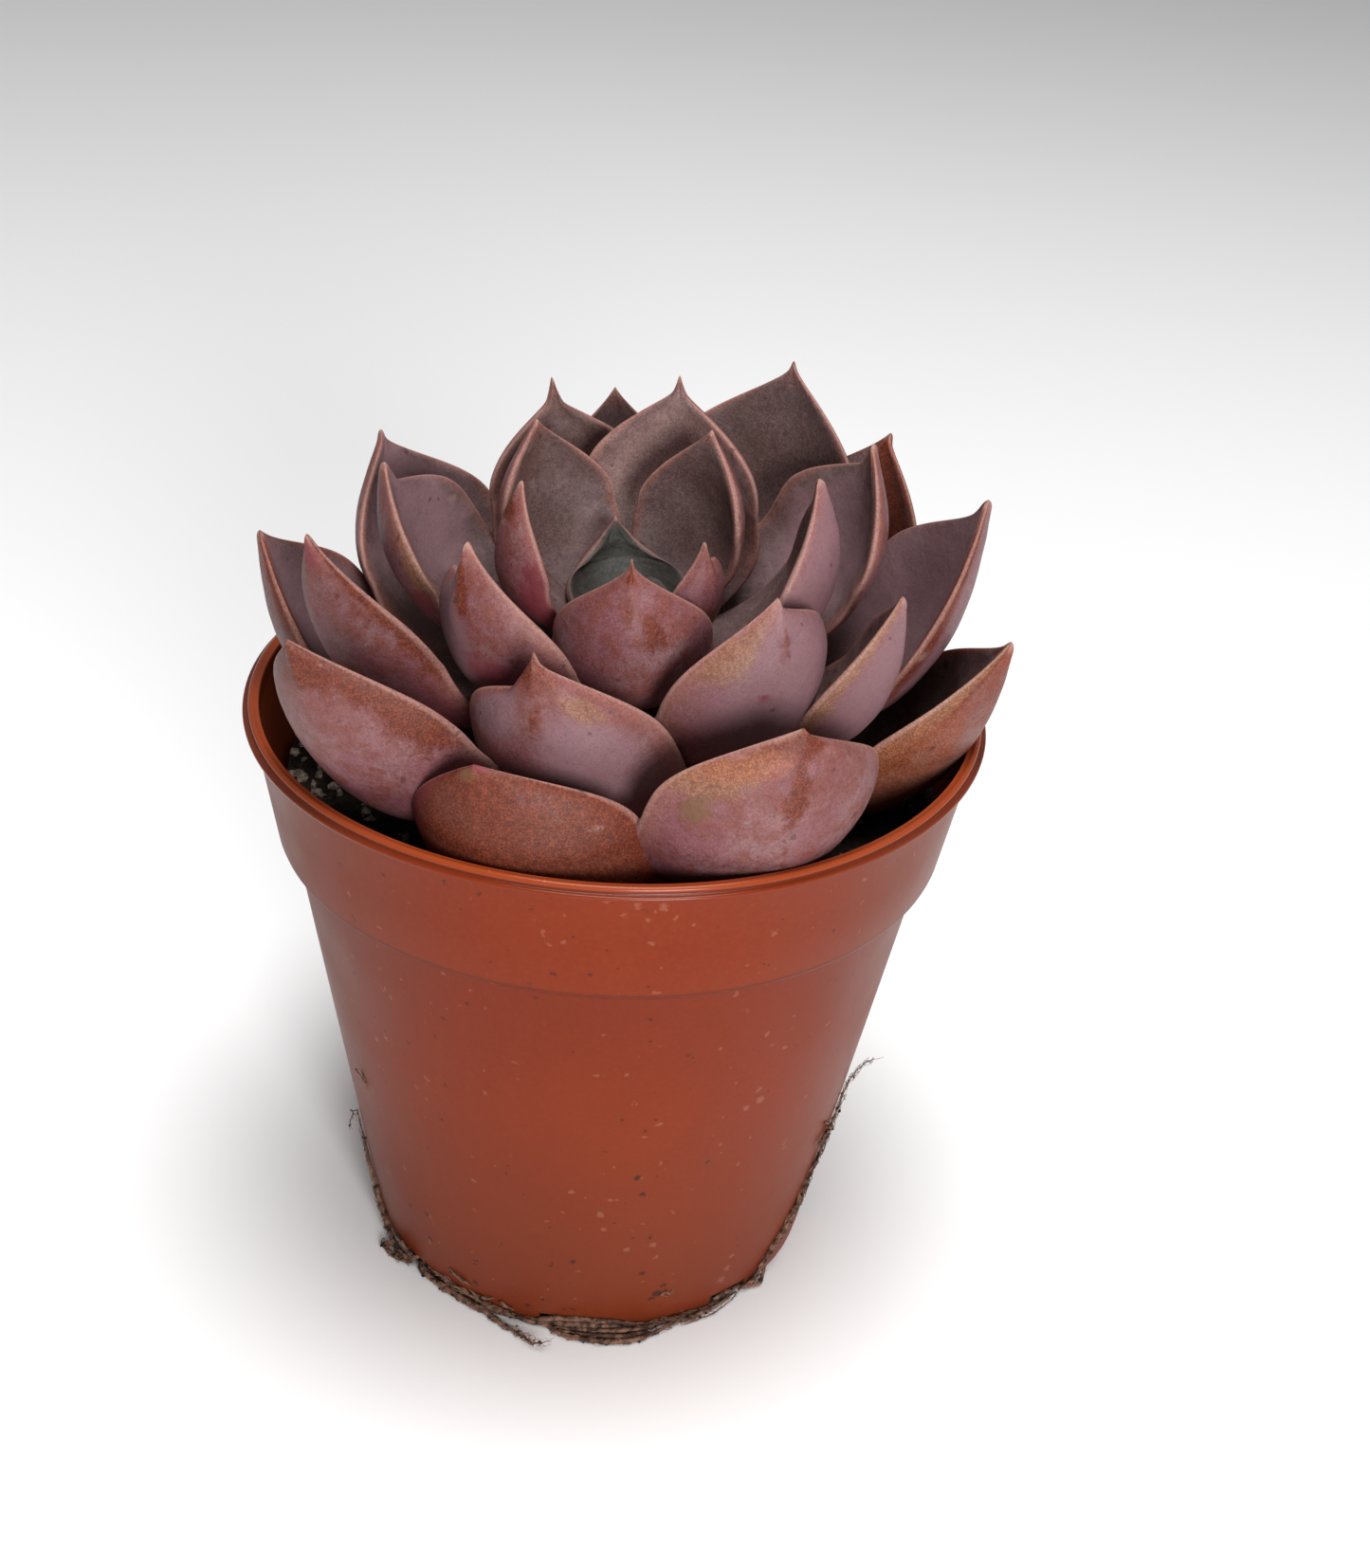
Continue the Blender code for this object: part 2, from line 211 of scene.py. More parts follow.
def spots(place, marks, ragged):
    """Where small ragged marks lie on the wall and the collar."""
    total = 0
    for azimuth, height, radius in marks:
        centre = on_wall(azimuth, height * MM, COLLAR_STEP if height * MM > COLLAR_FOOT else 0)
        away = add_node(place.tree, "ShaderNodeVectorMath", {0: place, 1: centre}, "Value", operation="DISTANCE")
        total = (away + ragged).step(radius * 1.2 * MM, radius * 0.5 * MM).run("MAXIMUM", total)
    return total


def make_pot_material():
    material, shader, tree = new_material("terracotta_plastic", 0.4, 0.13, coat_roughness=0.16)
    place = object_place(tree)
    height = place.part(2)
    cloud, grain = place.noise(45, 3), place.noise(1500, 2)
    colour = cloud.step(0.35, 0.7).colours((0.17, 0.0195, 0.003), (0.19, 0.0235, 0.004))
    colour = colour.paint(grain.step(0.35, 0.75, 0, 0.25), (0.22, 0.036, 0.01))
    # Dust and lime that wipe off on the wall in faint clouds, thicker low down
    film = place.stretched((1, 1, 0.4)).noise(60, 5, 0.65).step(0.45, 0.8)
    colour = colour.paint(film * (height.step(0.045, 0.0, 0, 0.3) + 0.05), (0.2, 0.046, 0.014))
    # Painted shade on the wall's flanks to left and right, and the wall made darker towards the bottom
    flank_shade = abs(place.part(0)).step(0.012, 0.037, 0, 0.5)
    colour = colour.paint(height.step(0.06, 0.004, 0, 0.55).run("MAXIMUM", flank_shade), (0.115, 0.026, 0.011))
    # Painted shade on the wall under the collar
    under = height.step(0.06, 0.0598) * height.step(0.035, 0.06, 0, 0.3)
    colour = colour.paint(under, (0.11, 0.014, 0.004))
    # A painted highlight on the lip's ring
    colour = colour.paint(height.step(0.07645, 0.0766, 0, 0.7), (0.3, 0.05, 0.012))
    # Specks of peat, and fine scratches from stacking
    specks = place.noise(700, 3, 0.6).step(0.68, 0.74) * place.noise(90, 2).step(0.45, 0.65)
    colour = colour.paint(specks * 0.8, (0.05, 0.02, 0.012))
    scratches = place.stretched((1, 1, 0.25)).noise(800, 3, 0.6, 0.8).step(0.69, 0.73)
    colour = colour.paint(scratches * place.noise(70, 2).step(0.52, 0.68) * 0.35, (0.33, 0.12, 0.07))
    # Painted shade in the crease under the collar and in the lip's two grooves, from one height to another in
    # millimetres
    for low, high in ((60, 61), (75.2, 75.65), (76.18, 76.42)):
        line = height.step((low - 0.15) * MM, (low + 0.1) * MM)
        line = line * height.step((high + 0.2) * MM, (high - 0.1) * MM, 0, 0.4)
        colour = colour.paint(line, (0.045, 0.008, 0.003))
    # Dark and pale specks all over, then the marks that are placed one by one
    for shift, size, tint, strength in ((0, 760, (0.05, 0.012, 0.007), 0.7), (0.5, 820, (0.33, 0.13, 0.08), 0.3)):
        speck = place.stretched((1, 1, 1), (shift, 0, 0)).noise(size, 1, 0.4)
        colour = colour.paint(speck.step(0.745, 0.78, 0, strength), tint)
    ragged = (place.noise(1900, 3, 0.7) - 0.5) * 0.0016
    colour = colour.paint(spots(place, PALE_NICKS, ragged) * 0.28, (0.36, 0.16, 0.11))
    colour = colour.paint(spots(place, PEAT_SPECKS, ragged) * 0.85, (0.035, 0.012, 0.008))
    # The lip is polished by handling
    lip = height.step(0.0752, 0.0758, 0, 0.18)
    set_input(shader["Roughness"], cloud.step(0.3, 0.75, 0.36, 0.5) - lip)
    set_input(shader["Coat Weight"], lip * 1.2)
    finish_surface(shader, colour, grain * 0.4 + cloud * 3, 0.25, 0.0001)
    return material


POT_PROFILE = (
    # Outside, from the middle of the base up the wall to the collar's foot
    (0, 0), (20, 0), (28.5, 0), (28.85, 0.12), (29, 0.4), (29.2, 1.5), (29.39, 2.2), (29.46, 2.6), (30, 5.7),
    (31.3, 13), (32.6, 20.5), (36.2, 40.8), (39.35, 58.9), (39.55, 59.6), (39.75, 59.95), (40.1, 60.08),
    (40.9, 60.2), (41.2, 60.4), (41.35, 60.8), (42.6, 67.9), (43.9, 75.1),
    # The lip: a small ledge, a groove, a rounded ring and a flat inner land
    (44.05, 75.5), (44.35, 75.62), (44.8, 75.62), (44.97, 75.72), (45, 75.9), (44.96, 76.08), (44.8, 76.17),
    (44.5, 76.17), (44.38, 76.22), (44.33, 76.35), (44.36, 76.6), (44.28, 76.82), (44.1, 76.95), (43.9, 77),
    (43.72, 76.95), (43.6, 76.86), (43.35, 76.82), (43.1, 76.8), (43.02, 76.65), (43, 76.3),
    # Inside, down to the middle of the base
    (42.8, 74.9), (41.7, 67.9), (40.42, 60.75), (40.3, 60.35), (40.05, 60.15), (38.95, 59.5), (38.75, 59.2),
    (38.6, 58.4), (35.2, 40.8), (31.6, 20.5), (29, 5.7), (28.4, 2.6), (28.2, 2.2), (28, 1.6), (27.5, 1.2),
    (18, 1.2), (0, 1.2),
)


def make_pot(material):
    bm = bmesh.new()
    points = [bm.verts.new((radius * MM, 0, height * MM)) for radius, height in POT_PROFILE]
    edges = [bm.edges.new(pair) for pair in zip(points, points[1:])]
    bmesh.ops.spin(bm, geom=points + edges, cent=(0, 0, 0), axis=(0, 0, 1), angle=math.tau, steps=POT_SIDES,
                   use_merge=True)
    bmesh.ops.remove_doubles(bm, verts=bm.verts, dist=0.001 * MM)
    for vert in bm.verts:
        # A thin wall never stays quite round
        up = max(0, vert.co.z / POT_HEIGHT)
        turn = math.atan2(vert.co.y, vert.co.x)
        sway = 0.25 * math.sin(2 * turn + 0.6) + 0.12 * math.sin(5 * turn + 1)
        radius = vert.co.xy.length
        if radius > 0:
            vert.co.xy *= 1 + sway * MM * up * up / radius
    bmesh.ops.recalc_face_normals(bm, faces=bm.faces)
    pot = new_object("pot_moulding", bm, material)
    pot.data.set_sharp_from_angle(angle=math.radians(60))
    cutter = make_slot_cutter(material)
    cut = pot.modifiers.new("drain slots", "BOOLEAN")
    cut.operation = "DIFFERENCE"
    cut.solver = "EXACT"
    cut.object = cutter
    shape = bpy.data.meshes.new_from_object(pot.evaluated_get(bpy.context.evaluated_depsgraph_get()))
    pot.modifiers.clear()
    pot.data = shape
    shape.set_sharp_from_angle(angle=math.radians(50))
    bpy.data.objects.remove(cutter)
    return pot


def make_slot_cutter(material):
    bm = bmesh.new()
    for number in range(SLOT_COUNT):
        turn = Matrix.Rotation(math.radians(FIRST_SLOT + number * 360 / SLOT_COUNT), 4, "Z")
        size = Matrix.Translation((SLOT_DISTANCE, 0, 0)) @ Matrix.Diagonal((*SLOT_SIZE, 1))
        bmesh.ops.create_cube(bm, size=1, matrix=turn @ size)
    return new_object("slot_cutter", bm, material)


finish_piece(make_pot(make_pot_material()), "pot", "pot")


# Soil
# A root ball of dark peat, pressed in by a potting machine and settled, with white perlite grit
# that has floated up to the surface round the rim.
SOIL_SIDES = 160
SOIL_FOOT = 0.05
# The root ball's outline, radius and height in millimetres: it fills the drain slots, up to the outside of the wall
SOIL_OUTLINE = ((28.4, SOIL_FOOT), (28.7, 0.3), (28.75, 1.9), (28.5, 2.3), (38.2, 59.2), (39.9, 60.6), (40.3, 64.4))
# Its surface: the level at the middle, and the rise towards the wall from a radius on, in millimetres
SOIL_LEVEL, SOIL_RISE, RISE_FROM, RISE_OVER = 62.8, 3.2, 18, 20


def make_peat():
    material, shader, tree = new_material("peat", 0.95, 0.25)
    place = object_place(tree)
    clods = place.noise(260, 5, 0.7)
    fibres = place.stretched((1, 0.25, 1)).noise(1400, 3, 0.6)
    colour = clods.step(0.35, 0.7).colours((0.006, 0.004, 0.003), (0.035, 0.022, 0.015))
    colour = colour.paint(fibres.step(0.66, 0.74, 0, 0.6), (0.11, 0.07, 0.045))
    finish_surface(shader, colour, clods, 1, 0.0015)
    return material


peat = make_peat()


def make_grained_material(name, roughness, grain, clear, dark, pale, strength, depth, stretch=(1, 1, 1)):
    """A rough material in two tones: the grain's scale, detail and roughness, and its value where the tone is pale."""
    material, shader, tree = new_material(name, roughness, 0.3)
    grain = object_place(tree).stretched(stretch).noise(*grain)
    finish_surface(shader, grain.step(0.35, clear).colours(dark, pale), grain, strength, depth)
    return material


def soil_height(x, y):
    """The soil's surface: dished in the middle and lumpy."""
    radius = math.hypot(x, y) / MM
    edge = min(1, max(0, (radius - RISE_FROM) / RISE_OVER))
    height = SOIL_LEVEL + SOIL_RISE * edge * edge * (3 - 2 * edge)
    lumps = noise.noise(Vector((x, y, 0)) / (6 * MM)) * 0.5
    crumbs = noise.noise(Vector((x, y, 7 * MM)) / (1.8 * MM)) * 0.35
    return (height + lumps + crumbs) * MM


def soil_vert(bm, radius, turn, height=None):
    """A vertex at a radius in millimetres: at a height in millimetres, or else on the soil's surface."""
    x, y = radius * MM * math.cos(turn), radius * MM * math.sin(turn)
    return bm.verts.new((x, y, soil_height(x, y) if height is None else height * MM))


def make_soil(material):
    """The root ball, seen from above and through the drain slots."""
    bm = bmesh.new()
    turns = [math.tau * side / SOIL_SIDES for side in range(SOIL_SIDES)]
    outline = (*SOIL_OUTLINE, *((radius, None) for radius in range(40, 0, -1)))
    rings = [[soil_vert(bm, 0, 0, SOIL_FOOT)], *([soil_vert(bm, radius, turn, height) for turn in turns]
                                                 for radius, height in outline), [soil_vert(bm, 0, 0)]]
    for low, high in zip(rings, rings[1:]):
        for side in range(SOIL_SIDES):
            after = (side + 1) % SOIL_SIDES
            corners = (low[side % len(low)], low[after % len(low)], high[after % len(high)], high[side % len(high)])
            bm.faces.new(list(dict.fromkeys(corners)))
    bmesh.ops.recalc_face_normals(bm, faces=bm.faces)
    return new_object("root_ball", bm, material)


finish_piece(make_soil(peat), "soil", "soil")


def new_tree(name, kind, inputs, outputs):
    """A node tree with sockets by name, kind and default, and its inputs as values on wires."""
    tree = bpy.data.node_groups.new(name, kind)
    for way, sockets in (("INPUT", inputs), ("OUTPUT", outputs)):
        for label, socket_kind, *default in sockets:
            socket = tree.interface.new_socket(label, in_out=way, socket_type="NodeSocket" + socket_kind)
            if default:
                socket.default_value = default[0]
    given = tree.nodes.new("NodeGroupInput").outputs
    return tree, {socket.name: Wire(tree, socket) for socket in given if socket.name}


def close_tree(tree, *results):
    """Lead results to a tree's outputs."""
    for socket, result in zip(tree.nodes.new("NodeGroupOutput").inputs, results):
        set_input(socket, result)
    return tree


GEOMETRY = (("Geometry", "Geometry"),)
GRAIN_INPUTS = (("Density", "Float"), ("Size", "Float"), ("Seed", "Int"))


def random_vector(seed, low, high):
    """For each point, three numbers between low and high."""
    return add_node(seed.tree, "FunctionNodeRandomValue", {0: (low,) * 3, 1: (high,) * 3, "Seed": seed},
                    data_type="FLOAT_VECTOR")


def add_grains(surface, given, material, **where):
    """Grains of Size, at Density, sunk half into a surface, each turned, stretched and roughened by chance."""
    tree = surface.tree
    points = add_node(tree, "GeometryNodeDistributePointsOnFaces", {
        "Mesh": surface, "Density": given["Density"], "Seed": given["Seed"], **where})
    grain = add_node(tree, "GeometryNodeMeshIcoSphere", {"Subdivisions": 2, "Radius": given["Size"]})
    grains = add_node(tree, "GeometryNodeInstanceOnPoints", {
        "Points": points, "Instance": grain, "Scale": random_vector(given["Seed"], 0.3, 1),
        "Rotation": random_vector(given["Seed"], 0, math.tau)})
    rough = add_node(tree, "ShaderNodeTexNoise", {"Scale": 900, "Detail": 1}, "Color")
    push = add_node(tree, "ShaderNodeVectorMath", {0: rough, 1: (0.5, 0.5, 0.5)}, operation="SUBTRACT")
    push = add_node(tree, "ShaderNodeVectorMath", {0: push, "Scale": given["Size"] * 1.6}, operation="SCALE")
    grains = add_node(tree, "GeometryNodeRealizeInstances", {0: grains})
    grains = add_node(tree, "GeometryNodeSetPosition", {"Geometry": grains, "Offset": push})
    return add_node(tree, "GeometryNodeSetMaterial", {"Geometry": grains, "Material": material})


def make_grain_tree():
    """Loose grains over the upward faces of the surface that it is given."""
    tree, given = new_tree("loose grains", "GeometryNodeTree", (*GEOMETRY, *GRAIN_INPUTS, ("Material", "Material")),
                           GEOMETRY)
    upward = add_node(tree, "GeometryNodeInputNormal").part(2).run("GREATER_THAN", 0.4)
    return close_tree(tree, add_grains(given["Geometry"], given, given["Material"], Selection=upward))


def run_tree(name, mesh, tree, inputs):
    """Run a tree on a mesh with inputs by name, and keep the plain mesh that it gives."""
    holder = add_piece(name + "_seed", mesh)
    growth = holder.modifiers.new(name, "NODES")
    growth.node_group = tree
    keys = {item.name: item.identifier for item in tree.interface.items_tree if item.in_out == "INPUT"}
    for key, value in inputs.items():
        growth[keys[key]] = value
    shape = bpy.data.meshes.new_from_object(holder.evaluated_get(bpy.context.evaluated_depsgraph_get()))
    bpy.data.objects.remove(holder)
    shape.name = name
    return shape


def soil_patch(low, high, first, last):
    """A ring of the soil's surface between two radii in millimetres and two azimuths in degrees, for scattering."""
    bm = bmesh.new()
    steps = max(8, int((last - first) / 4))
    turns = [math.radians(first + (last - first) * step / steps) for step in range(steps + 1)]
    rows = [[soil_vert(bm, radius, turn) for turn in turns] for radius in (low, (low + high) / 2, high)]
    for inner, outer in zip(rows, rows[1:]):
        for step in range(steps):
            bm.faces.new((inner[step], outer[step], outer[step + 1], inner[step + 1]))
    return close_mesh("soil_patch", bm)


grain_tree = make_grain_tree()
grit = 0.9, (1600, 3, 0.6), 0.62
perlite = make_grained_material("perlite", *grit, (0.1, 0.07, 0.05), (0.3, 0.24, 0.19), 1, 0.0004)
bark_chip = make_grained_material("bark_chip", *grit, (0.08, 0.02, 0.012), (0.24, 0.05, 0.03), 1, 0.0004)
# Each scatter: its patch, grains to the square metre, their size in millimetres, its seed and its material
for name, patch, density, size, seed, material in (
        ("peat_crumbs", (12, 39.8, -180, 180), 3.6e5, 0.6, 1, peat),
        ("peat_lumps", (12, 39, -180, 180), 9e4, 1.3, 2, peat),
        ("perlite_grit", (29, 39.5, -180, 180), 3.2e4, 0.95, 5, perlite),
        ("perlite_drift", (34, 39.8, -200, -160), 2.2e5, 0.9, 7, perlite),
        ("perlite_dust", (24, 39.8, -180, 180), 1.5e5, 0.3, 9, perlite),
        ("bark_bits", (36.5, 39.5, -186, -174), 1.2e5, 1.3, 4, bark_chip)):
    mesh = run_tree(name, soil_patch(*patch), grain_tree,
                    {"Density": density, "Size": size * MM, "Seed": seed, "Material": material})
    finish_piece(add_piece(name, mesh), "soil")


# Leaves
# Thick, water-filled leaves with a waxy bloom, each on its own spot of a golden-angle spiral. The bloom is thick and
# mauve on the outer face, thin and olive on the inner one, and the margins blush red in the sun.
CROWN = Matrix.Translation((1 * MM, 3 * MM, 66 * MM)) @ Matrix.Rotation(math.radians(10), 4, "X")
GOLDEN_ANGLE = 137.5
FIRST_AZIMUTH = -70
# The last leaf of the heart and the last one that isn't old, as leaves are numbered from the heart outwards
HEART_LEAVES = 5
GREEN_LEAVES = 26
LEAF_ROWS = 72
LEAF_SIDES = 57
# Height of the oldest leaf's foot, and from one leaf to the next younger one, in millimetres
LOWEST_FOOT, FOOT_SPACING = 1.2, 0.7
# How far the handles at the two ends of a leaf's line reach, as shares of its span
FIRST_HANDLE, LAST_HANDLE = 0.6, 0.48
MARK_FALL = 0.8
STOPS = ("Start", "First", "Second", "Tip")
# The leaf tree's inputs with their defaults, in metres and radians
LEAF_INPUTS = (
    ("Azimuth", 0), ("Sweep", 0), ("Start Radius", 0.006), ("Start Height", 0.01), ("First Radius", 0.02),
    ("First Height", 0.01), ("Second Radius", 0.03), ("Second Height", 0.02), ("Tip Radius", 0.03),
    ("Tip Height", 0.035), ("Width", 0.025), ("Base Share", 0.4), ("Full From", 0.5), ("Full To", 0.66),
    ("Left Share", 1), ("Left Shoulder", 2.4), ("Left Notch", 0), ("Right Share", 1), ("Right Shoulder", 2.4),
    ("Right Notch", 0), ("Taper", 0.58), ("Spine", 0.17), ("Thickness", 0.004), ("Roll", 0), ("Tilt", 0),
    ("Keel", 0.12), ("Cup", 0.25), ("Seed", 0),
)


def combine(tree, *parts):
    """A place from its x, y and z."""
    return add_node(tree, "ShaderNodeCombineXYZ", dict(enumerate(parts)))


def make_leaf_tree():
    """A closed leaf: a tube of cross-sections round a line in the crown's radius and height, bent round the crown."""
    tree, size = new_tree("succulent leaf", "GeometryNodeTree",
                          (*((name, "Float", value) for name, value in LEAF_INPUTS), ("Skin", "Material")), GEOMETRY)
    shape = add_node(tree, "GeometryNodeMeshGrid", {
        "Size X": 1, "Size Y": 1, "Vertices X": LEAF_ROWS, "Vertices Y": LEAF_SIDES})
    flat = add_node(tree, "GeometryNodeInputPosition")
    row = flat.part(0) + 0.5
    along = (1 - (1 - row).unit() ** 1.35).unit()
    turn = flat.part(1) * math.tau
    across, face = turn.cos(), turn.sin()
    rest = 1 - along

    def on_line(start, first, second, tip):
        place = (rest ** 3 * start + rest ** 2 * along * first * 3 + rest * along ** 2 * second * 3
                 + along ** 3 * tip)
        pull = (rest ** 2 * (first - start) + rest * along * (second - first) * 2
                + along ** 2 * (tip - second))
        return place, pull

    radius, outward = on_line(*(size[f"{stop} Radius"] for stop in STOPS))
    height, upward = on_line(*(size[f"{stop} Height"] for stop in STOPS))
    length = (outward * outward + upward * upward).root()
    lift_out, lift_up = upward / length * -1, outward / length

    # Narrow at the stem, widest past the middle, then drawn out into a fine point between two shoulders
    rise = ((along / size["Full From"]).unit() * (math.pi / 2)).sin() ** 1.1
    rise = rise * (size["Base Share"] * -1 + 1) + size["Base Share"]
    spine = ((1 - along) / 0.12).unit() ** 1.2 * size["Spine"]

    def half_outline(hand):
        past = ((along - size["Full To"]) / (1 - size[f"{hand} Notch"] - size["Full To"])).unit()
        blade = (1 - past ** size[f"{hand} Shoulder"]) * (1 - past ** 3 * size["Taper"])
        return blade.run("SMOOTH_MAX", spine, 0.06) * size[f"{hand} Share"]

    closed = (1 - ((along - 0.985) / 0.015).unit() ** 2).root(), (1 - ((0.03 - along) / 0.03).unit() ** 2).root()
    left, right = half_outline("Left"), half_outline("Right")
    outline = rise * (left + (right - left) * (across * 0.5 + 0.5))

    def shut(value):
        """A value that closes to nothing at the leaf's tip and foot."""
        return value * closed[0] * closed[1]

    def ripple(scale_along, scale_across, shift):
        place = combine(tree, along * scale_along, across * scale_across, face * 0.5)
        return add_node(tree, "ShaderNodeTexNoise", {
            "Vector": place, "W": size["Seed"] + shift, "Scale": 1, "Detail": 2}, noise_dimensions="4D") - 0.5

    half = size["Width"] * 0.5 * outline * (ripple(4, 1, 0) * 0.08 + 1)
    curve = tree.nodes.new("ShaderNodeFloatCurve")
    line = curve.mapping.curves[0]
    for place, value in ((0.15, 0.66), (0.45, 1), (0.75, 0.9), (0.9, 0.58), (0.96, 0.34)):
        line.points.new(place, value)
    line.points[0].location = (0, 0.55)
    line.points[-1].location = (1, 0.16)
    set_input(curve.inputs["Value"], along)
    thickness = shut(size["Thickness"] * Wire(tree, curve.outputs[0]))

    # The section: a hollowed inner face, a rounder outer one with a keel, and a rounded margin
    bulge = abs(face) ** 1.1
    inner = bulge * (across * across * 0.22 + 0.37)
    keel = size["Keel"] * (along * 1.6 - 0.6).unit() * (1 - abs(across) * 4).unit()
    outer = (bulge * (across * across * -0.26 + 0.63) + keel) * -1
    lift = (outer + (inner - outer) * face.run("GREATER_THAN", 0) + 0.05) * thickness
    cup = size["Cup"] * ((along / 0.62).unit() ** 2 * 0.7 + 0.3)
    lift = lift + cup * half * across * across + shut(ripple(3, 1.6, 7) * 0.0007)
    side = shut(half * across)
    radius, height = (place + pull / length * side * size["Tilt"] for place, pull in
                      ((radius, outward), (height, upward)))

    lean = size["Roll"] * ((along / 0.6).unit() * (math.pi / 2)).sin()
    side, lift = side * lean.cos() - lift * lean.sin(), side * lean.sin() + lift * lean.cos()
    bend_radius = radius.run("MAXIMUM", 0.002) / 0.92
    bend = side / bend_radius
    reach = bend_radius + lift * lift_out
    out = radius - bend_radius + reach * bend.cos()
    sideways = reach * bend.sin()
    azimuth = size["Azimuth"] + size["Sweep"] * along * along
    place = combine(tree, out * azimuth.cos() - sideways * azimuth.sin(),
                    out * azimuth.sin() + sideways * azimuth.cos(), height + lift * lift_up)

    for name, value in (("along", along), ("across", across), ("face", face)):
        shape = add_node(tree, "GeometryNodeStoreNamedAttribute", {
            "Geometry": shape, "Name": name, "Value": value}, data_type="FLOAT")
    for kind, inputs in (("SetPosition", {"Position": place}), ("MergeByDistance", {"Distance": 0.002 * MM}),
                         ("SetShadeSmooth", {}), ("RealizeInstances", {}), ("SetMaterial", {"Material": size["Skin"]})):
        shape = add_node(tree, "GeometryNode" + kind, {0: shape, **inputs})
    return close_tree(tree, shape)


SKIN_TINTS = (
    ("Outer", (0.19, 0.073, 0.086)), ("Bloom", (0.215, 0.108, 0.111)), ("Blush", (0.17, 0.05, 0.04)),
    ("Inner", (0.135, 0.085, 0.082)), ("Margin", (0.25, 0.1, 0.08)), ("Tip", (0.36, 0.2, 0.16)),
    ("Low", (0.14, 0.025, 0.038)),
)
# Marks of each leaf's own: rust from sun and age, gold and amber along an edge, olive bruises, crimson stress, scars
# that are pale and thick grey bloom, and painted shade for deep places. Each kind has a tint, a speck's tint and a
# strength.
MARK_KINDS = {
    "grey": ((0.24, 0.143, 0.16), (0.19, 0.1, 0.116), 0.7),
    "rust": ((0.097, 0.015, 0.006), (0.155, 0.031, 0.011), 0.9),
    "gold": ((0.2, 0.085, 0.038), (0.25, 0.125, 0.065), 0.65),
    "olive": ((0.15, 0.08, 0.035), (0.12, 0.058, 0.028), 0.8),
    "crimson": ((0.21, 0.03, 0.045), (0.14, 0.02, 0.03), 0.7),
    "pale": ((0.26, 0.16, 0.13), (0.34, 0.22, 0.18), 0.5),
    "deep_shade": ((0.055, 0.032, 0.028), (0.085, 0.048, 0.044), 0.6),
    "amber": ((0.23, 0.062, 0.024), (0.3, 0.095, 0.042), 0.55),
}


def make_skin_group():
    """The waxy skin: colour, roughness and relief from a leaf's own along, across and face values."""
    tree, given = new_tree("waxy skin", "ShaderNodeTree", [(name, "Color", (*tint, 1)) for name, tint in SKIN_TINTS],
                           (("Colour", "Color"), ("Roughness", "Float"), ("Height", "Float")))

    def leaf_value(name):
        return add_node(tree, "ShaderNodeAttribute", output="Fac", attribute_name=name)

    along, across, face = leaf_value("along"), leaf_value("across"), leaf_value("face")
    wide = abs(across)
    place = object_place(tree)
    broad = place.noise(110, 3, 0.5)
    cloud = place.noise(380, 4, 0.6, 0.3)
    mottle = place.noise(1300, 4, 0.65, 0.6)
    worms = place.noise(2300, 3, 0.6, 2.2)

    # The outer face: bloom over flesh, greyer in broad patches, and redder where it is thin
    outer = broad.step(0.4, 0.62).colours(given["Outer"], given["Bloom"])
    outer = outer.paint(cloud.step(0.4, 0.66, 0, 0.75), given["Blush"])
    outer = outer.paint(along.step(0.72, 0.98) * cloud.step(0.3, 0.6, 0.2, 0.85), given["Blush"])
    # Deep crimson towards the foot and sides of the outer face, partly its own colour and partly painted shade
    outer = outer.paint(along.step(0.78, 0.4) * wide.step(0.2, 1, 0.3, 0.9), given["Low"])
    # Where the bloom is rubbed off in fine marks, the flesh shows darker and redder
    outer = outer.paint(mottle.step(0.46, 0.68) * cloud.step(0.3, 0.6, 0.3, 0.9), (0.15, 0.042, 0.036))
    # The inner face: thin bloom, darker and lighter in patches
    inner = given["Inner"]
    for pattern, tint in ((broad.step(0.4, 0.62, 0, 0.8), (0.74, 0.59, 0.52)),
                          (cloud.step(0.48, 0.72, 0, 0.6), (1.6, 1.75, 1.7)),
                          (mottle.step(0.5, 0.72, 0, 0.45), (0.45, 0.4, 0.4))):
        inner = inner.paint(pattern, tint, "MULTIPLY")
    colour = face.step(-0.12, 0.3).colours(outer, inner)
    # The blush that runs along the margin, and the tip
    blush = (wide + cloud * 0.12).step(0.86, 1.04) * along.step(0.15, 0.5)
    colour = colour.paint(blush * 0.7, given["Margin"])
    colour = colour.paint(along.step(0.93, 0.985, 0, 0.65), given["Margin"])
    colour = colour.paint(along.step(0.975, 0.999, 0, 0.8), given["Tip"])
    for kind, (tint, speck, strength) in MARK_KINDS.items():
        mark = leaf_value(kind) + (cloud * 0.9 + mottle * 0.7 - 0.8)
        colour = colour.paint(mark.step(0.15, 0.85, 0, strength), worms.step(0.46, 0.6).colours(tint, speck))
    # The margin's thin pale edge, partly its own colour and partly a painted highlight, then a wormy grain all over,
    # and dark dots
    colour = colour.paint(wide.step(0.95, 0.985) * along.step(0.35, 0.6, 0, 0.38), (0.4, 0.235, 0.2))
    grain = worms.step(0.38, 0.62).colours((0.74, 0.7, 0.7), (1.2, 1.2, 1.2))
    colour = colour.paint(0.85, grain, "MULTIPLY")
    colour = colour.paint(place.noise(620, 1, 0.4).step(0.73, 0.78) * 0.6, (0.06, 0.022, 0.024))
    return close_tree(tree, colour, mottle.step(0.3, 0.75, 0.62, 0.44), cloud * 1.4 + mottle * 0.6 + worms * 0.12)


skin_group = make_skin_group()


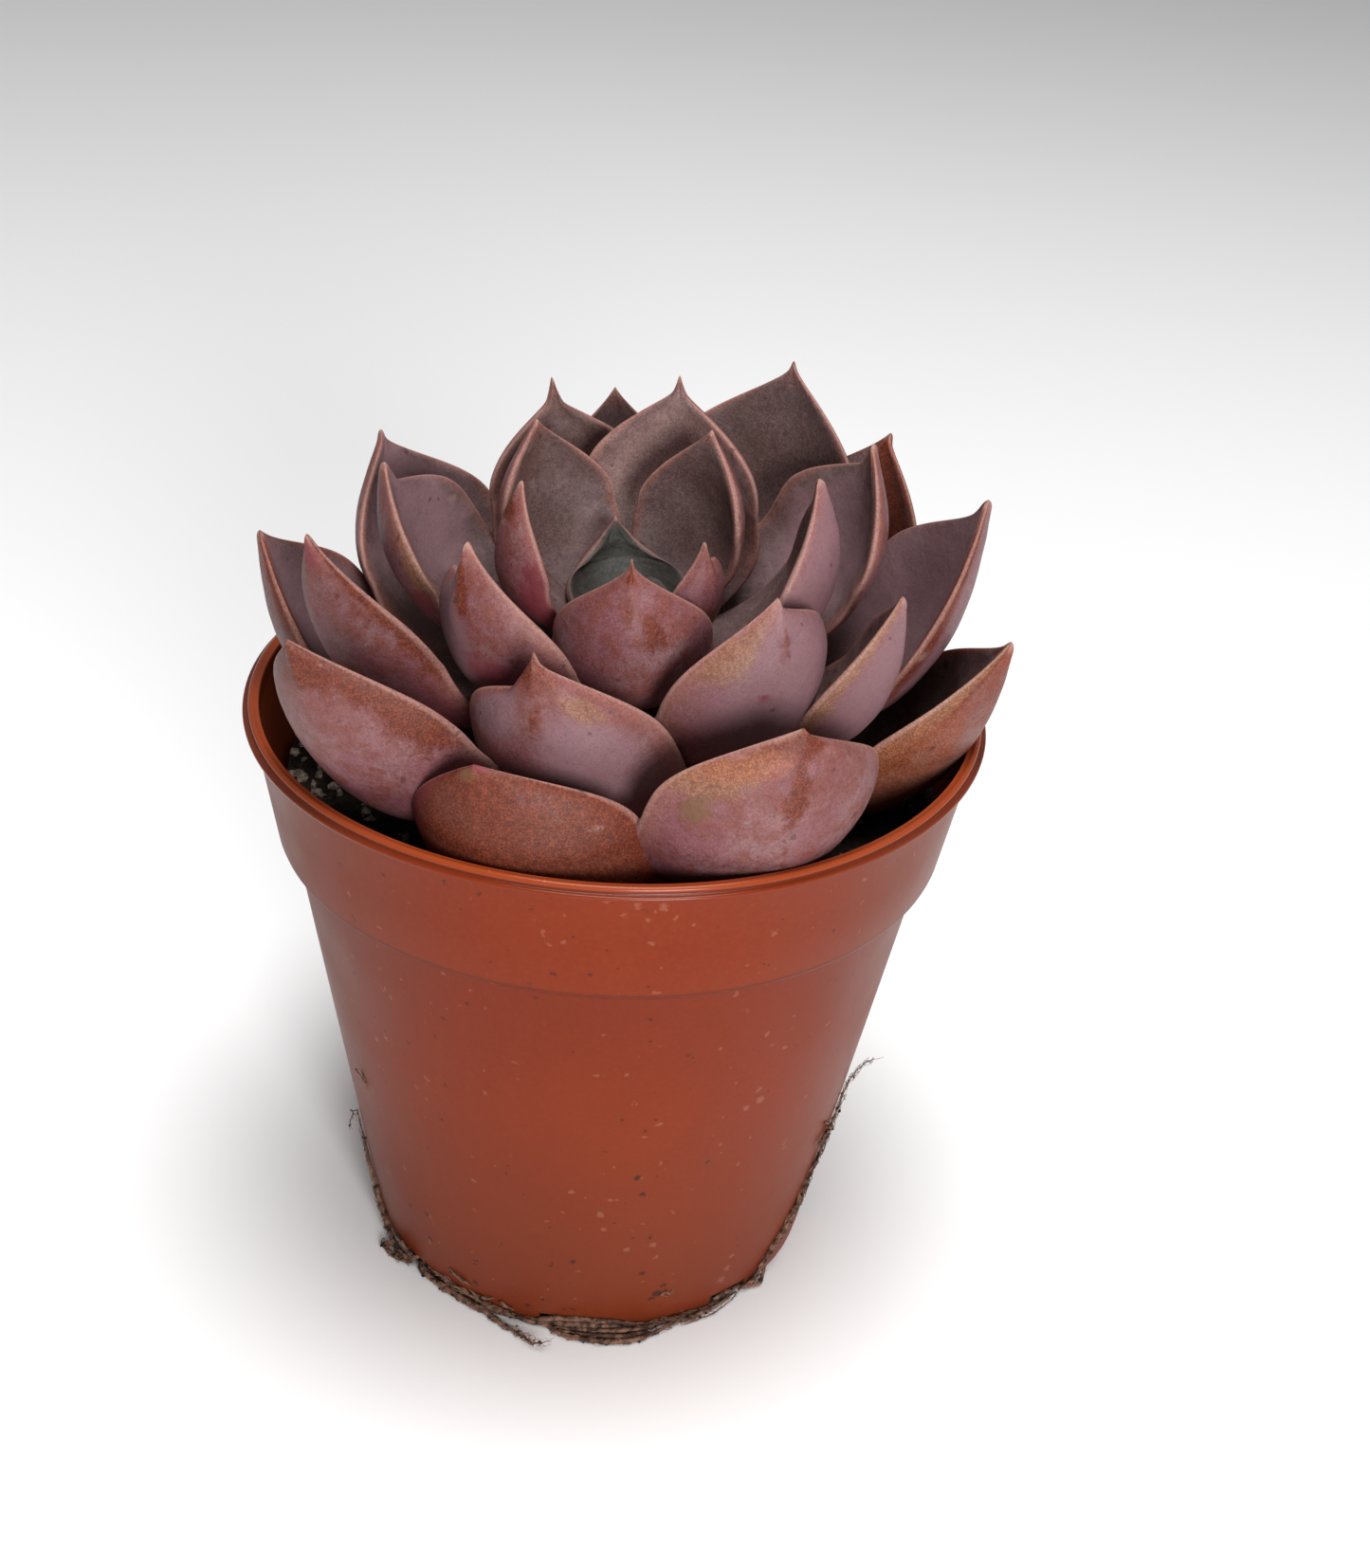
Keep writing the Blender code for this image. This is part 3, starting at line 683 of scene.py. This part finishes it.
def make_leaf_material(name, **tints):
    """One growth stage's skin: the shared pattern with its own tints."""
    material, shader, tree = new_material(name, 0.5, 0.3)
    skin = add_node(tree, "ShaderNodeGroup", tints, node_tree=skin_group)
    roughness, relief = (Wire(tree, skin.socket.node.outputs[part]) for part in ("Roughness", "Height"))
    set_input(shader["Roughness"], roughness)
    finish_surface(shader, skin, relief, 0.35, 0.0003)
    return material


heart_skin = make_leaf_material(
    "heart_leaf_skin", Outer=(0.14, 0.075, 0.075), Bloom=(0.15, 0.09, 0.085), Blush=(0.2, 0.06, 0.06),
    Inner=(0.036, 0.034, 0.029), Margin=(0.13, 0.075, 0.07), Tip=(0.3, 0.18, 0.15))
leaf_skin = make_leaf_material("leaf_skin")
old_skin = make_leaf_material(
    "old_leaf_skin", Outer=(0.19, 0.085, 0.075), Bloom=(0.2, 0.1, 0.085), Blush=(0.17, 0.04, 0.022),
    Margin=(0.2, 0.038, 0.013))

# One row for each leaf, from the heart outwards: turn away from the spiral and sweep of the tip, in degrees; tip
# radius, tip height and width, in millimetres; slope of the tip and roll, in degrees. None is a shed leaf.
LEAVES = (
    (0, 0, 2.6, 24, 5, 95, 0),
    (0, 0, 3.6, 24.3, 6, 98, 0),
    (0, 0, 5.4, 24.6, 8.5, 98, 0),
    (0, 0, 7.6, 25.2, 11.5, 102, 0),
    (4, 0, 10, 29.6, 22.5, 98, 0),
    (-4, 0, 10.5, 38, 12, 95, 0),
    (10, 0, 13.5, 42.5, 14.5, 100, 0),
    (6, 0, 14, 41.5, 18.5, 98, 0),
    (2, -3, 14.5, 40.4, 22.5, 112, 0),
    (-2, 0, 19.1, 39.6, 20, 95, 0),
    (-7, 7, 20.5, 44, 22, 100, 0),
    (9, -9, 23, 41, 24, 98, 0),
    (-4, 3, 23, 42, 25.5, 92, 0),
    (3.5, 3, 25, 39.8, 26.5, 110, 0),
    (0, 0, 31, 36.5, 24, 82, 8),
    (0, 0, 31.5, 39, 25, 94, 0),
    (9, -10, 28.5, 36, 29.5, 120, 0),
    (-3, 3, 29.5, 38, 25, 85, 0),
    (-1, 0, 33.3, 37.5, 24, 84, 0),
    (4, -4, 38, 39, 25.5, 80, 20),
    (-3, 3, 37.6, 39.3, 28.5, 82, 0),
    (12.2, 4, 39, 33.8, 31, 112, 0),
    (0, 0, 39, 32, 26, 89, 0),
    (0, 0, 41.6, 37.9, 27, 78, 0),
    (-2, -9, 46.3, 37.7, 26, 74, 20),
    (2.5, 0, 40.5, 29.5, 23, 82, 0),
    None,
    (0, 0, 44, 30, 25, 78, 0),
    (3, 0, 43.5, 31.5, 24, 80, 0),
    (0, -16, 39.5, 28, 27.5, 104, 2),
    (0, 0, 43, 19, 23, 78, 0),
    (0, 0, 45, 28.6, 25, 76, -8),
    None,
    (0, 0, 43, 20, 24, 76, 0),
)

# What sets single leaves apart from the rule, by leaf number. Pairs are left and right, as seen from the plant's axis,
# and None keeps the rule's shoulder.
TRIMS = {
    5: {"Shoulder": (1.4, 1.4), "Full From": 0.3, "Full To": 0.3, "Drop": 1.8},
    6: {"Share": (0.8, 1.2), "Shoulder": (None, 6), "Notch": (0, 0.1)},
    9: {"Share": (1, 1.1), "Shoulder": (3.2, 3.2), "Notch": (0.02, 0.02), "Drop": 3.5, "Base Share": 0.55},
    11: {"Share": (0.98, 0.85), "Cup": 0.12},
    12: {"Shoulder": (6, 3), "Notch": (0.09, 0), "Drop": 2},
    13: {"Share": (1.17, 1), "Shoulder": (2.8, 2.8), "Notch": (0.045, 0.04)},
    14: {"Share": (1, 1.05), "Shoulder": (5, 6), "Notch": (0, 0.02), "Drop": 3},
    15: {"Shoulder": (6, 3), "Notch": (0.06, 0)},
    16: {"Share": (1, 0.92), "Shoulder": (None, 4), "Notch": (0, 0.05)},
    17: {"Share": (0.84, 1.06), "Shoulder": (6, 6), "Notch": (0.07, 0.02), "Spine": 0.38, "Taper": 0.33, "Drop": 6.5,
         "Belly In": 3.5, "Base Share": 0.6},
    18: {"Shoulder": (3, 3), "Notch": (0.055, 0.055)},
    19: {"Share": (0.85, 0.92), "Shoulder": (2, None), "Drop": 2},
    21: {"Share": (1.38, 1.04), "Shoulder": (3, None), "Notch": (0.01, 0.015)},
    22: {"Share": (1.1, 1.1), "Shoulder": (9, 3.4), "Notch": (0, 0.01), "Taper": 0.18, "Drop": 2.5},
    23: {"Share": (1, 1.08), "Notch": (0.015, 0.02)},
    24: {"Share": (1.15, 0.9), "Notch": (0, 0.025)},
    25: {"Share": (1, 1.1), "Shoulder": (None, 4), "Taper": 0.4},
    26: {"Share": (1.2, 1), "Shoulder": (2.2, 2.2)},
    28: {"Share": (1.6, 1), "Shoulder": (4, None), "Notch": (0.015, 0)},
    29: {"Share": (1.1, 1.24), "Shoulder": (3.2, 8), "Taper": 0.06, "Tilt": 0.09, "Drop": 3},
    31: {"Share": (1.08, 1), "Drop": 3, "Cup": 0.5},
}

# Marks on single leaves, by leaf number: kind, place along and across, and reach along and across.
MARKS = {
    # Dark marks of painted shade lie over the heart's leaves and deep in the rosette
    **{number: (("deep_shade", 0.6, 0, 1.5, 4),) for number in (1, 2, 3, 4)},
    7: (("crimson", 0.55, 0.95, 0.3, 0.5), ("rust", 0.9, 0, 0.06, 0.6)),
    8: (("deep_shade", 0.6, 0, 0.4, 1.2),),
    9: (("rust", 0.8, 0.25, 0.08, 0.16), ("rust", 0.97, 0, 0.04, 0.5), ("rust", 0.88, 0.02, 0.07, 0.06)),
    10: (("deep_shade", 0.5, 0.3, 0.25, 0.8),),
    11: (("grey", 0.7, -0.4, 0.4, 0.8),),
    12: (("crimson", 0.66, 0.35, 0.09, 0.3), ("rust", 0.9, 0.15, 0.1, 0.2), ("grey", 0.72, -0.2, 0.3, 0.45)),
    13: (("pale", 0.7, 0, 0.4, 1), ("pale", 0.8, 0.5, 0.05, 0.16), ("pale", 0.86, 0.2, 0.05, 0.2),
         ("grey", 0.75, 0, 0.3, 1)),
    14: (("gold", 0.9, -0.7, 0.09, 0.35), ("rust", 0.9, -0.05, 0.07, 0.07), ("grey", 0.8, 0.2, 0.3, 1.1),
         ("crimson", 0.79, -0.2, 0.012, 0.05)),
    15: (("gold", 0.7, 0.95, 0.2, 0.16), ("crimson", 0.58, 0.85, 0.1, 0.2), ("pale", 0.74, -0.8, 0.02, 0.09),
         ("grey", 0.75, -0.2, 0.4, 0.9)),
    16: (("grey", 0.6, 0, 0.4, 1),),
    17: (("gold", 0.91, 0.6, 0.035, 0.22), ("rust", 0.985, 0, 0.06, 1), ("rust", 0.9, 0.05, 0.13, 0.07),
         ("grey", 0.82, 0.4, 0.1, 0.5), ("grey", 0.7, 0.3, 0.1, 0.6), ("grey", 0.86, -0.5, 0.08, 0.4)),
    19: (("gold", 0.8, -1, 0.35, 0.22), ("grey", 0.75, -0.1, 0.4, 1)),
    20: (("rust", 0.85, 1, 0.4, 0.2), ("crimson", 0.98, 0, 0.05, 1)),
    21: (("deep_shade", 0.75, 0, 0.35, 1),),
    22: (("olive", 0.87, -0.72, 0.04, 0.12), ("rust", 0.91, -0.1, 0.1, 0.13), ("gold", 0.93, -0.75, 0.05, 0.4),
         ("amber", 0.95, -0.6, 0.03, 0.5), ("rust", 0.98, 0, 0.03, 1)),
    23: (("grey", 0.8, 0, 0.4, 1),),
    24: (("rust", 0.75, -0.98, 0.35, 0.16), ("pale", 0.73, -0.93, 0.02, 0.06), ("grey", 0.7, 0, 0.5, 1.3)),
    25: (("rust", 0.9, 0.9, 0.2, 0.35), ("rust", 0.97, 0, 0.07, 1.4)),
    27: (("rust", 0.8, 1, 0.4, 0.25), ("grey", 0.7, 0, 0.5, 1.1)),
    28: (("rust", 0.75, -0.3, 0.4, 0.9),),
    29: (("rust", 0.8, 0.1, 0.5, 1.8), ("rust", 0.85, 0.1, 0.6, 2.2), ("pale", 0.89, 0.75, 0.014, 0.05),
         ("crimson", 0.75, -1.05, 0.3, 0.42), ("crimson", 1, 0, 0.012, 2), ("olive", 0.99, -0.3, 0.02, 0.5)),
    31: (("rust", 0.8, -0.95, 0.4, 0.25), ("gold", 0.85, -1, 0.3, 0.2), ("amber", 0.66, -0.8, 0.25, 0.6)),
}


def between(value, *knots):
    """Straight lines between (place, value) pairs."""
    if value <= knots[0][0]:
        return knots[0][1]
    for (place, low), (next_place, high) in zip(knots, knots[1:]):
        if value <= next_place:
            return low + (high - low) * (value - place) / (next_place - place)
    return knots[-1][1]


def leaf_sizes(number, order, row):
    """The tree's inputs for one leaf, from its row and its place on the spiral."""
    turn, sweep, tip_radius, tip_height, width, tip_slope, roll = row
    azimuth = FIRST_AZIMUTH - GOLDEN_ANGLE * order
    foot = LOWEST_FOOT + FOOT_SPACING * (len(LEAVES) - 1 - order)
    start = Vector((between(order, (-1, 1.2), (16, 6), (33, 7)), foot))
    tip = Vector((tip_radius, tip_height))
    slope = between(order, (-1, 60), (5, 30), (8, 18), (16, 10), (24, 4), (33, 0))
    if order >= 13:
        # Leaves at the back start out flatter
        slope -= 10 * max(0, math.cos(math.radians(azimuth + 90)))
    slope, end = math.radians(slope), math.radians(tip_slope)
    span = (tip - start).length
    first = start + FIRST_HANDLE * span * Vector((math.cos(slope), math.sin(slope)))
    reach = (LAST_HANDLE + 0.0022 * max(0, tip_slope - 90)) * span
    second = tip - reach * Vector((math.cos(end), math.sin(end)))
    sizes = {"Azimuth": math.radians(azimuth + turn), "Sweep": math.radians(sweep), "Roll": math.radians(roll),
             "Width": width * MM, "Thickness": min(4, 1.4 + 0.11 * width) * MM, "Seed": order * 3.7,
             "Full From": between(order, (0, 0.4), (8, 0.5)),
             "Full To": between(order, (0, 0.45), (8, 0.6), (16, 0.66))}
    sizes["Left Shoulder"] = sizes["Right Shoulder"] = between(order, (0, 1.7), (8, 2.4), (16, 2.6))
    trim = dict(TRIMS.get(number, {}))
    drop = trim.pop("Drop", 0)
    first.y, second.y = first.y - drop, second.y - drop
    second.x -= trim.pop("Belly In", 0)
    for name, point in zip(STOPS, (start, first, second, tip)):
        sizes[f"{name} Radius"], sizes[f"{name} Height"] = point.x * MM, point.y * MM
    for part in ("Share", "Shoulder", "Notch"):
        for hand, value in zip(("Left", "Right"), trim.pop(part, ())):
            if value is not None:
                sizes[f"{hand} {part}"] = value
    sizes.update(trim)
    return sizes


def grow_leaf(name, sizes, skin, marks):
    """Run the leaf tree with one leaf's sizes, and write its marks on the mesh that it gives."""
    shape = run_tree(name, bpy.data.meshes.new(name), leaf_tree, {**sizes, "Skin": skin})
    shape.transform(CROWN)
    values = [[item.value for item in shape.attributes[key].data] for key in ("along", "across")]
    for kind in MARK_KINDS:
        layer = shape.attributes.new(kind, "FLOAT", "POINT")
        mine = [mark[1:] for mark in marks if mark[0] == kind]
        for item, along, across in zip(layer.data, *values):
            for at, side, reach, spread in mine:
                far = math.hypot((along - at) / reach, (across - side) / spread)
                item.value = max(item.value, 1 - far * far * MARK_FALL)
    return add_piece(name, shape)


leaf_tree = make_leaf_tree()
grown = [(order, row) for order, row in enumerate(LEAVES) if row]
for number, (order, row) in enumerate(grown, 1):
    skin, slot = (heart_skin, "heart_leaf") if number <= HEART_LEAVES else (leaf_skin, "leaf")
    if number > GREEN_LEAVES:
        skin, slot = old_skin, "old_leaf"
    leaf = grow_leaf(f"leaf_{number:02d}_skin", leaf_sizes(number, order, row), skin, MARKS.get(number, ()))
    finish_piece(leaf, slot, f"leaf_{number:02d}")


# Stem
# The short woody stem that the leaves grow from, ringed by the scars of the shed ones. The CAD solid has its shape,
# and it is hidden but for glimpses between the leaves, so it only gets its bark here.
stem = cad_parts["stem"]
stem.data.materials.clear()
stem.data.materials.append(make_grained_material(
    "stem_bark", 0.8, (350, 4, 0.6), 0.65, (0.05, 0.04, 0.02), (0.14, 0.11, 0.06), 0.8, 0.0006, (1, 1, 4)))


# Roots
# Fine brown roots that have found the drain slots, run along the pot and dried there, with peat stuck in them.
# Nothing fastens them: each is a bundle of strands and stray fibres that took the shape of wall and floor.
root_bark = make_grained_material("dry_root", 0.85, (900, 4, 0.65), 0.68, (0.04, 0.018, 0.012), (0.25, 0.13, 0.085),
                                  0.8, 0.0003)


def make_root_tree():
    """Rough root strands along the lines that it is given, each as thick as its points say, with peat stuck on."""
    tree, given = new_tree("root strands", "GeometryNodeTree",
                           (*GEOMETRY, *GRAIN_INPUTS, ("Bark", "Material"), ("Peat", "Material")), GEOMETRY)
    lines = add_node(tree, "GeometryNodeMeshToCurve", {0: given["Geometry"]})
    ring = add_node(tree, "GeometryNodeCurvePrimitiveCircle", {"Resolution": 8, "Radius": 1})
    thick = add_node(tree, "GeometryNodeInputNamedAttribute", {"Name": "thick"})
    tubes = add_node(tree, "GeometryNodeCurveToMesh", {
        "Curve": lines, "Profile Curve": ring, "Scale": thick, "Fill Caps": True})
    knots = add_node(tree, "ShaderNodeTexNoise", {"Scale": 1100, "Detail": 2}, "Color")
    bent = add_node(tree, "ShaderNodeVectorMath", {0: knots, 1: (0.35 * MM,) * 3, 2: (-0.175 * MM,) * 3},
                    operation="MULTIPLY_ADD")
    tubes = add_node(tree, "GeometryNodeSetPosition", {"Geometry": tubes, "Offset": bent})
    tubes = add_node(tree, "GeometryNodeSetShadeSmooth", {0: tubes})
    barked = add_node(tree, "GeometryNodeRealizeInstances", {0: tubes})
    barked = add_node(tree, "GeometryNodeSetMaterial", {"Geometry": barked, "Material": given["Bark"]})
    both = add_node(tree, "GeometryNodeJoinGeometry", {0: barked})
    set_input(both.socket.node.inputs[0], add_grains(tubes, given, given["Peat"]))
    return close_tree(tree, both)


# The routes: azimuth in degrees, then height, distance from the wall and radius in millimetres
ROUTES = {
    "root_left": (
        ((-140, 1.2, -1.5, 0.5), (-141, 1, 0.6, 0.6), (-146, 0.8, 0.9, 0.7), (-152, 1.2, 0.6, 0.55),
         (-157, 2.6, 0.4, 0.5), (-160, 6, 0.35, 0.42), (-162, 10, 0.35, 0.36), (-163, 14, 0.35, 0.22),
         (-164, 17.5, 0.3, 0.12)),
        ((-148, 0.5, 0.9, 0.3), (-150, 0.4, 1.6, 0.5), (-147, 0.4, 2.1, 0.5), (-143, 0.5, 1.6, 0.4),
         (-140, 1, 0.8, 0.4), (-141, 2.4, 0.7, 0.3), (-145, 2.8, 0.6, 0.3)),
        ((-163, 15, 0.2, 0.06), (-163.5, 17, 0.8, 0.07), (-163, 16, 1.6, 0.06), (-163, 14.5, 1.9, 0.03)),
        ((-147, 32, 0.1, 0.05), (-147.5, 30.4, 0.15, 0.14), (-146.6, 28.6, 0.1, 0.05)),
    ),
    "root_hook": (
        ((-138, 1, -1.5, 0.45), (-137, 0.8, 0.4, 0.6), (-130, 0.6, 0.6, 0.7), (-122, 0.5, 0.8, 0.75),
         (-114, 0.5, 1.3, 0.6), (-108, 0.5, 2.4, 0.35), (-103, 0.6, 3.6, 0.22), (-100.5, 0.9, 4.5, 0.14),
         (-98, 1.5, 4.6, 0.08), (-96, 2, 3.9, 0.03)),
        ((-134, 1.8, 0.1, 0.2), (-127, 2, 0.15, 0.3), (-118, 1.2, 0.2, 0.35), (-108, 0.6, 0.4, 0.4),
         (-98, 0.5, 0.7, 0.4), (-90, 0.5, 0.9, 0.25)),
        ((-126, 4.6, 0.1, 0.12), (-124, 4.3, 0.3, 0.3), (-121.5, 3.8, 0.25, 0.35), (-119.5, 3.2, 0.1, 0.14)),
        ((-120, 2.4, 0.1, 0.15), (-117.5, 2.1, 0.3, 0.32), (-114.5, 2.3, 0.25, 0.28), (-113, 2.8, 0.1, 0.1)),
        ((-111, 2.6, 0.1, 0.12), (-109.5, 2.1, 0.3, 0.3), (-107.5, 1.7, 0.2, 0.14)),
        ((-138, 0.3, 0.2, 0.3), (-128, 0.25, 0.3, 0.4), (-118, 0.2, 0.35, 0.4), (-108, 0.2, 0.3, 0.35),
         (-98, 0.25, 0.2, 0.3)),
        ((-103, 0.5, 0.15, 0.3), (-97, 1.7, 0.3, 0.6), (-90, 2, 0.3, 0.6), (-83, 1.6, 0.3, 0.5),
         (-77, 0.6, 0.15, 0.3)),
        ((-102, 0.4, 0.3, 0.3), (-95, 1, 0.4, 0.6), (-88, 1.1, 0.45, 0.6), (-80, 0.5, 0.3, 0.3)),
    ),
    "root_front": (
        ((-98, 0.7, -1.5, 0.4), (-98, 0.5, 0.6, 0.5), (-95, 0.5, 1.8, 0.5), (-89, 0.5, 2.6, 0.55), (-82, 0.5, 3, 0.6),
         (-76, 0.5, 2.7, 0.5), (-70, 0.5, 1.6, 0.4), (-64, 0.5, 1, 0.3), (-56, 0.5, 0.8, 0.25), (-50, 0.6, 0.5, 0.2)),
        ((-97, 0.5, 0.2, 0.3), (-90, 0.4, 0.8, 0.5), (-83, 0.4, 1.2, 0.6), (-76, 0.4, 1.1, 0.55),
         (-70, 0.4, 0.5, 0.3), (-64, 0.4, 0.3, 0.2)),
        ((-94, 0.4, 1.2, 0.3), (-87, 0.35, 1.9, 0.55), (-80, 0.35, 2.2, 0.6), (-74, 0.35, 1.7, 0.4)),
        ((-72, 0.6, 0.3, 0.12), (-64, 0.4, 1.3, 0.18), (-58, 0.4, 1.7, 0.16), (-51, 0.5, 1, 0.12),
         (-46, 1, 0.5, 0.1)),
        ((-99, 0.3, 0.1, 0.3), (-92, 0.25, 0.2, 0.4), (-84, 0.25, 0.25, 0.45), (-76, 0.25, 0.25, 0.4),
         (-66, 0.25, 0.15, 0.35), (-56, 0.25, 0.15, 0.3), (-47, 0.3, 0.1, 0.2)),
        ((-96, 0.3, 0.5, 0.3), (-89, 0.25, 0.7, 0.4), (-80, 0.25, 0.75, 0.45), (-72, 0.25, 0.5, 0.3)),
        ((-55, 1.3, 0.1, 0.3), (-51, 1.7, 0.15, 0.5), (-47, 1.2, 0.1, 0.35)),
        ((-71, 5.4, 0.05, 0.06), (-70, 6.2, 0.1, 0.16), (-68.8, 5.6, 0.1, 0.14), (-68, 6.4, 0.05, 0.06)),
    ),
    "root_right": (
        ((-47, 1, -1.5, 0.4), (-45, 0.8, 0.4, 0.5), (-41, 1.6, 0.4, 0.45), (-37, 4.6, 0.3, 0.42),
         (-32, 7.4, 0.35, 0.5), (-28, 11, 0.35, 0.45), (-25, 15, 0.3, 0.35), (-22, 19, 0.35, 0.28),
         (-19, 23, 0.35, 0.2), (-17, 27, 0.5, 0.13), (-15.5, 29.6, 1.5, 0.09), (-15, 30.4, 2.6, 0.06),
         (-14.5, 30.9, 3.6, 0.03)),
        ((-44, 0.6, 0.5, 0.35), (-41, 0.6, 1.2, 0.5), (-38.5, 1.2, 0.7, 0.4), (-37, 2.6, 0.3, 0.2)),
        ((-29, 20.6, 0.1, 0.12), (-26.5, 21.2, 0.4, 0.35), (-23, 21.8, 0.5, 0.45), (-20, 20.6, 0.4, 0.3)),
        ((-28, 24.6, 0.1, 0.08), (-26, 23.6, 0.3, 0.28), (-24, 22.8, 0.3, 0.2)),
    ),
}
# Fine fibres to a long strand, one to any other, the points that make a strand long, and how far fibres stray
FIBRES = 12
LONG_LINE = 45
FIBRE_SPREAD = 1.2


def smooth_route(stops, steps=10):
    """Points on a smooth curve through the stops of a route."""
    stops = [stops[0], *stops, stops[-1]]
    points = []
    for before, first, last, after in zip(stops, stops[1:], stops[2:], stops[3:]):
        for step in range(steps):
            t = step / steps
            points.append([0.5 * (2 * b + (c - a) * t + (2 * a - 5 * b + 4 * c - d) * t * t
                                  + (3 * b - a - 3 * c + d) * t ** 3)
                           for a, b, c, d in zip(before, first, last, after)])
    return points + [list(stops[-1])]


def wander(place, seed):
    """A slow drift for a fibre that leaves its strand."""
    return noise.noise(Vector((place * 1.7, seed * 5.1, 0.3)))


def lay_strands(name, routes):
    """The lines for one root: its strands, and finer fibres that stray from each of them."""
    bm = bmesh.new()
    thick = bm.verts.layers.float.new("thick")
    lines = [smooth_route(route) for route in routes]
    for index, line in enumerate(list(lines)):
        for fibre in range(FIBRES if len(line) > LONG_LINE else 1):
            seed = index * 10 + fibre
            begin = int((0.5 + wander(seed, 1)) * len(line) * 0.4)
            stray = line[begin:begin + len(line) * 2 // 3]
            lines.append([(azimuth + FIBRE_SPREAD * 2.2 * wander(step / 6, seed),
                           max(0.25, height + FIBRE_SPREAD * wander(step / 5, seed + 40)),
                           max(0.12, distance + FIBRE_SPREAD * 0.7 * wander(step / 5, seed + 80)),
                           0.11 * (1.1 - step / len(stray)))
                          for step, (azimuth, height, distance, _) in enumerate(stray)])
    for line in lines:
        verts = []
        for azimuth, height, distance, radius in line:
            vert = bm.verts.new(on_wall(azimuth, max(height, radius * 0.9) * MM, distance * MM))
            vert[thick] = max(radius * 0.62, 0.02) * MM
            verts.append(vert)
        for pair in zip(verts, verts[1:]):
            bm.edges.new(pair)
    return close_mesh(name + "_lines", bm)


root_tree = make_root_tree()
for seed, (name, routes) in enumerate(ROUTES.items()):
    strands = run_tree(name + "_strands", lay_strands(name, routes), root_tree,
                       {"Density": 2e5, "Size": 0.28 * MM, "Seed": seed, "Bark": root_bark, "Peat": peat})
    finish_piece(add_piece(name + "_strands", strands), "root", name)


# Floor, light and camera
# A plain pale floor under a key light from front right and a soft one overhead, in a white room. The camera stands
# in front of the plant and looks down on it, with a slight tilt.
FLOOR_SIZE = 3
KEY_PLACE, KEY_SIZE, KEY_POWER = (0.25, -0.9, 0.33), 0.35, 8.6
TOP_PLACE, TOP_SIZE, TOP_POWER = (0.05, -0.05, 0.9), 0.5, 6.6
LIGHT_AIM = (0, 0, 0.07)
ROOM_LIGHT, ROOM_WHITE = 0.22, 0.95
# Height and focal length of the picture in pixels, and height of the sensor in millimetres
PICTURE_HEIGHT, FOCAL_PIXELS, SENSOR = 1654, 2400, 36
CAMERA_PLACE = (0, -245.79 * MM, 207.6 * MM)
ELEVATION, YAW, ROLL = math.radians(30.2), math.radians(2.11), math.radians(4.24)


def make_stage():
    bm = bmesh.new()
    bmesh.ops.create_grid(bm, x_segments=1, y_segments=1, size=FLOOR_SIZE)
    material, shader, tree = new_material("pale_floor", 0.9, 0.2)
    cloud = object_place(tree).noise(3, 2)
    set_input(shader["Base Color"], cloud.colours((0.95, 0.95, 0.95), (0.98, 0.98, 0.98)))
    new_object("floor", bm, material)


def add_light(name, place, size, power):
    light = bpy.data.lights.new(name, "AREA")
    light.shape = "DISK"
    light.size = size
    light.energy = power
    lamp = add_piece(name, light)
    turn = (Vector(LIGHT_AIM) - Vector(place)).to_track_quat("-Z", "Y")
    lamp.matrix_world = Matrix.Translation(place) @ turn.to_matrix().to_4x4()


def light_room():
    """White where the camera sees it, and dimmer as a light, so that the shade under the leaves stays dark."""
    world = bpy.data.worlds.new("soft studio")
    world.use_nodes = True
    sky = world.node_tree
    dim = Wire(sky, sky.nodes["Background"].outputs[0])
    sky.nodes["Background"].inputs["Strength"].default_value = ROOM_LIGHT
    sky.nodes["Background"].inputs["Color"].default_value = (1, 1, 1, 1)
    white = add_node(sky, "ShaderNodeBackground", {"Color": (1, 1, 1), "Strength": ROOM_WHITE})
    seen = add_node(sky, "ShaderNodeLightPath", output="Is Camera Ray")
    set_input(sky.nodes["World Output"].inputs[0], add_node(sky, "ShaderNodeMixShader", {0: seen, 1: dim, 2: white}))
    bpy.context.scene.world = world


make_stage()
light_room()
add_light("key", KEY_PLACE, KEY_SIZE, KEY_POWER)
add_light("top", TOP_PLACE, TOP_SIZE, TOP_POWER)

camera = bpy.data.cameras.new("camera")
camera.sensor_fit = "VERTICAL"
camera.sensor_height = SENSOR
camera.lens = SENSOR * FOCAL_PIXELS / PICTURE_HEIGHT
camera.clip_start = 0.01
camera.clip_end = 20
eye = add_piece("camera", camera)
forward = Vector((math.sin(YAW) * math.cos(ELEVATION), math.cos(YAW) * math.cos(ELEVATION), -math.sin(ELEVATION)))
level = Vector((math.cos(YAW), -math.sin(YAW), 0))
upright = level.cross(forward)
right = math.cos(ROLL) * level + math.sin(ROLL) * upright
top = math.cos(ROLL) * upright - math.sin(ROLL) * level
eye.matrix_world = Matrix.Translation(CAMERA_PLACE) @ Matrix((right, top, -forward)).transposed().to_4x4()
bpy.context.scene.camera = eye
bpy.context.scene.view_settings.view_transform = "Standard"
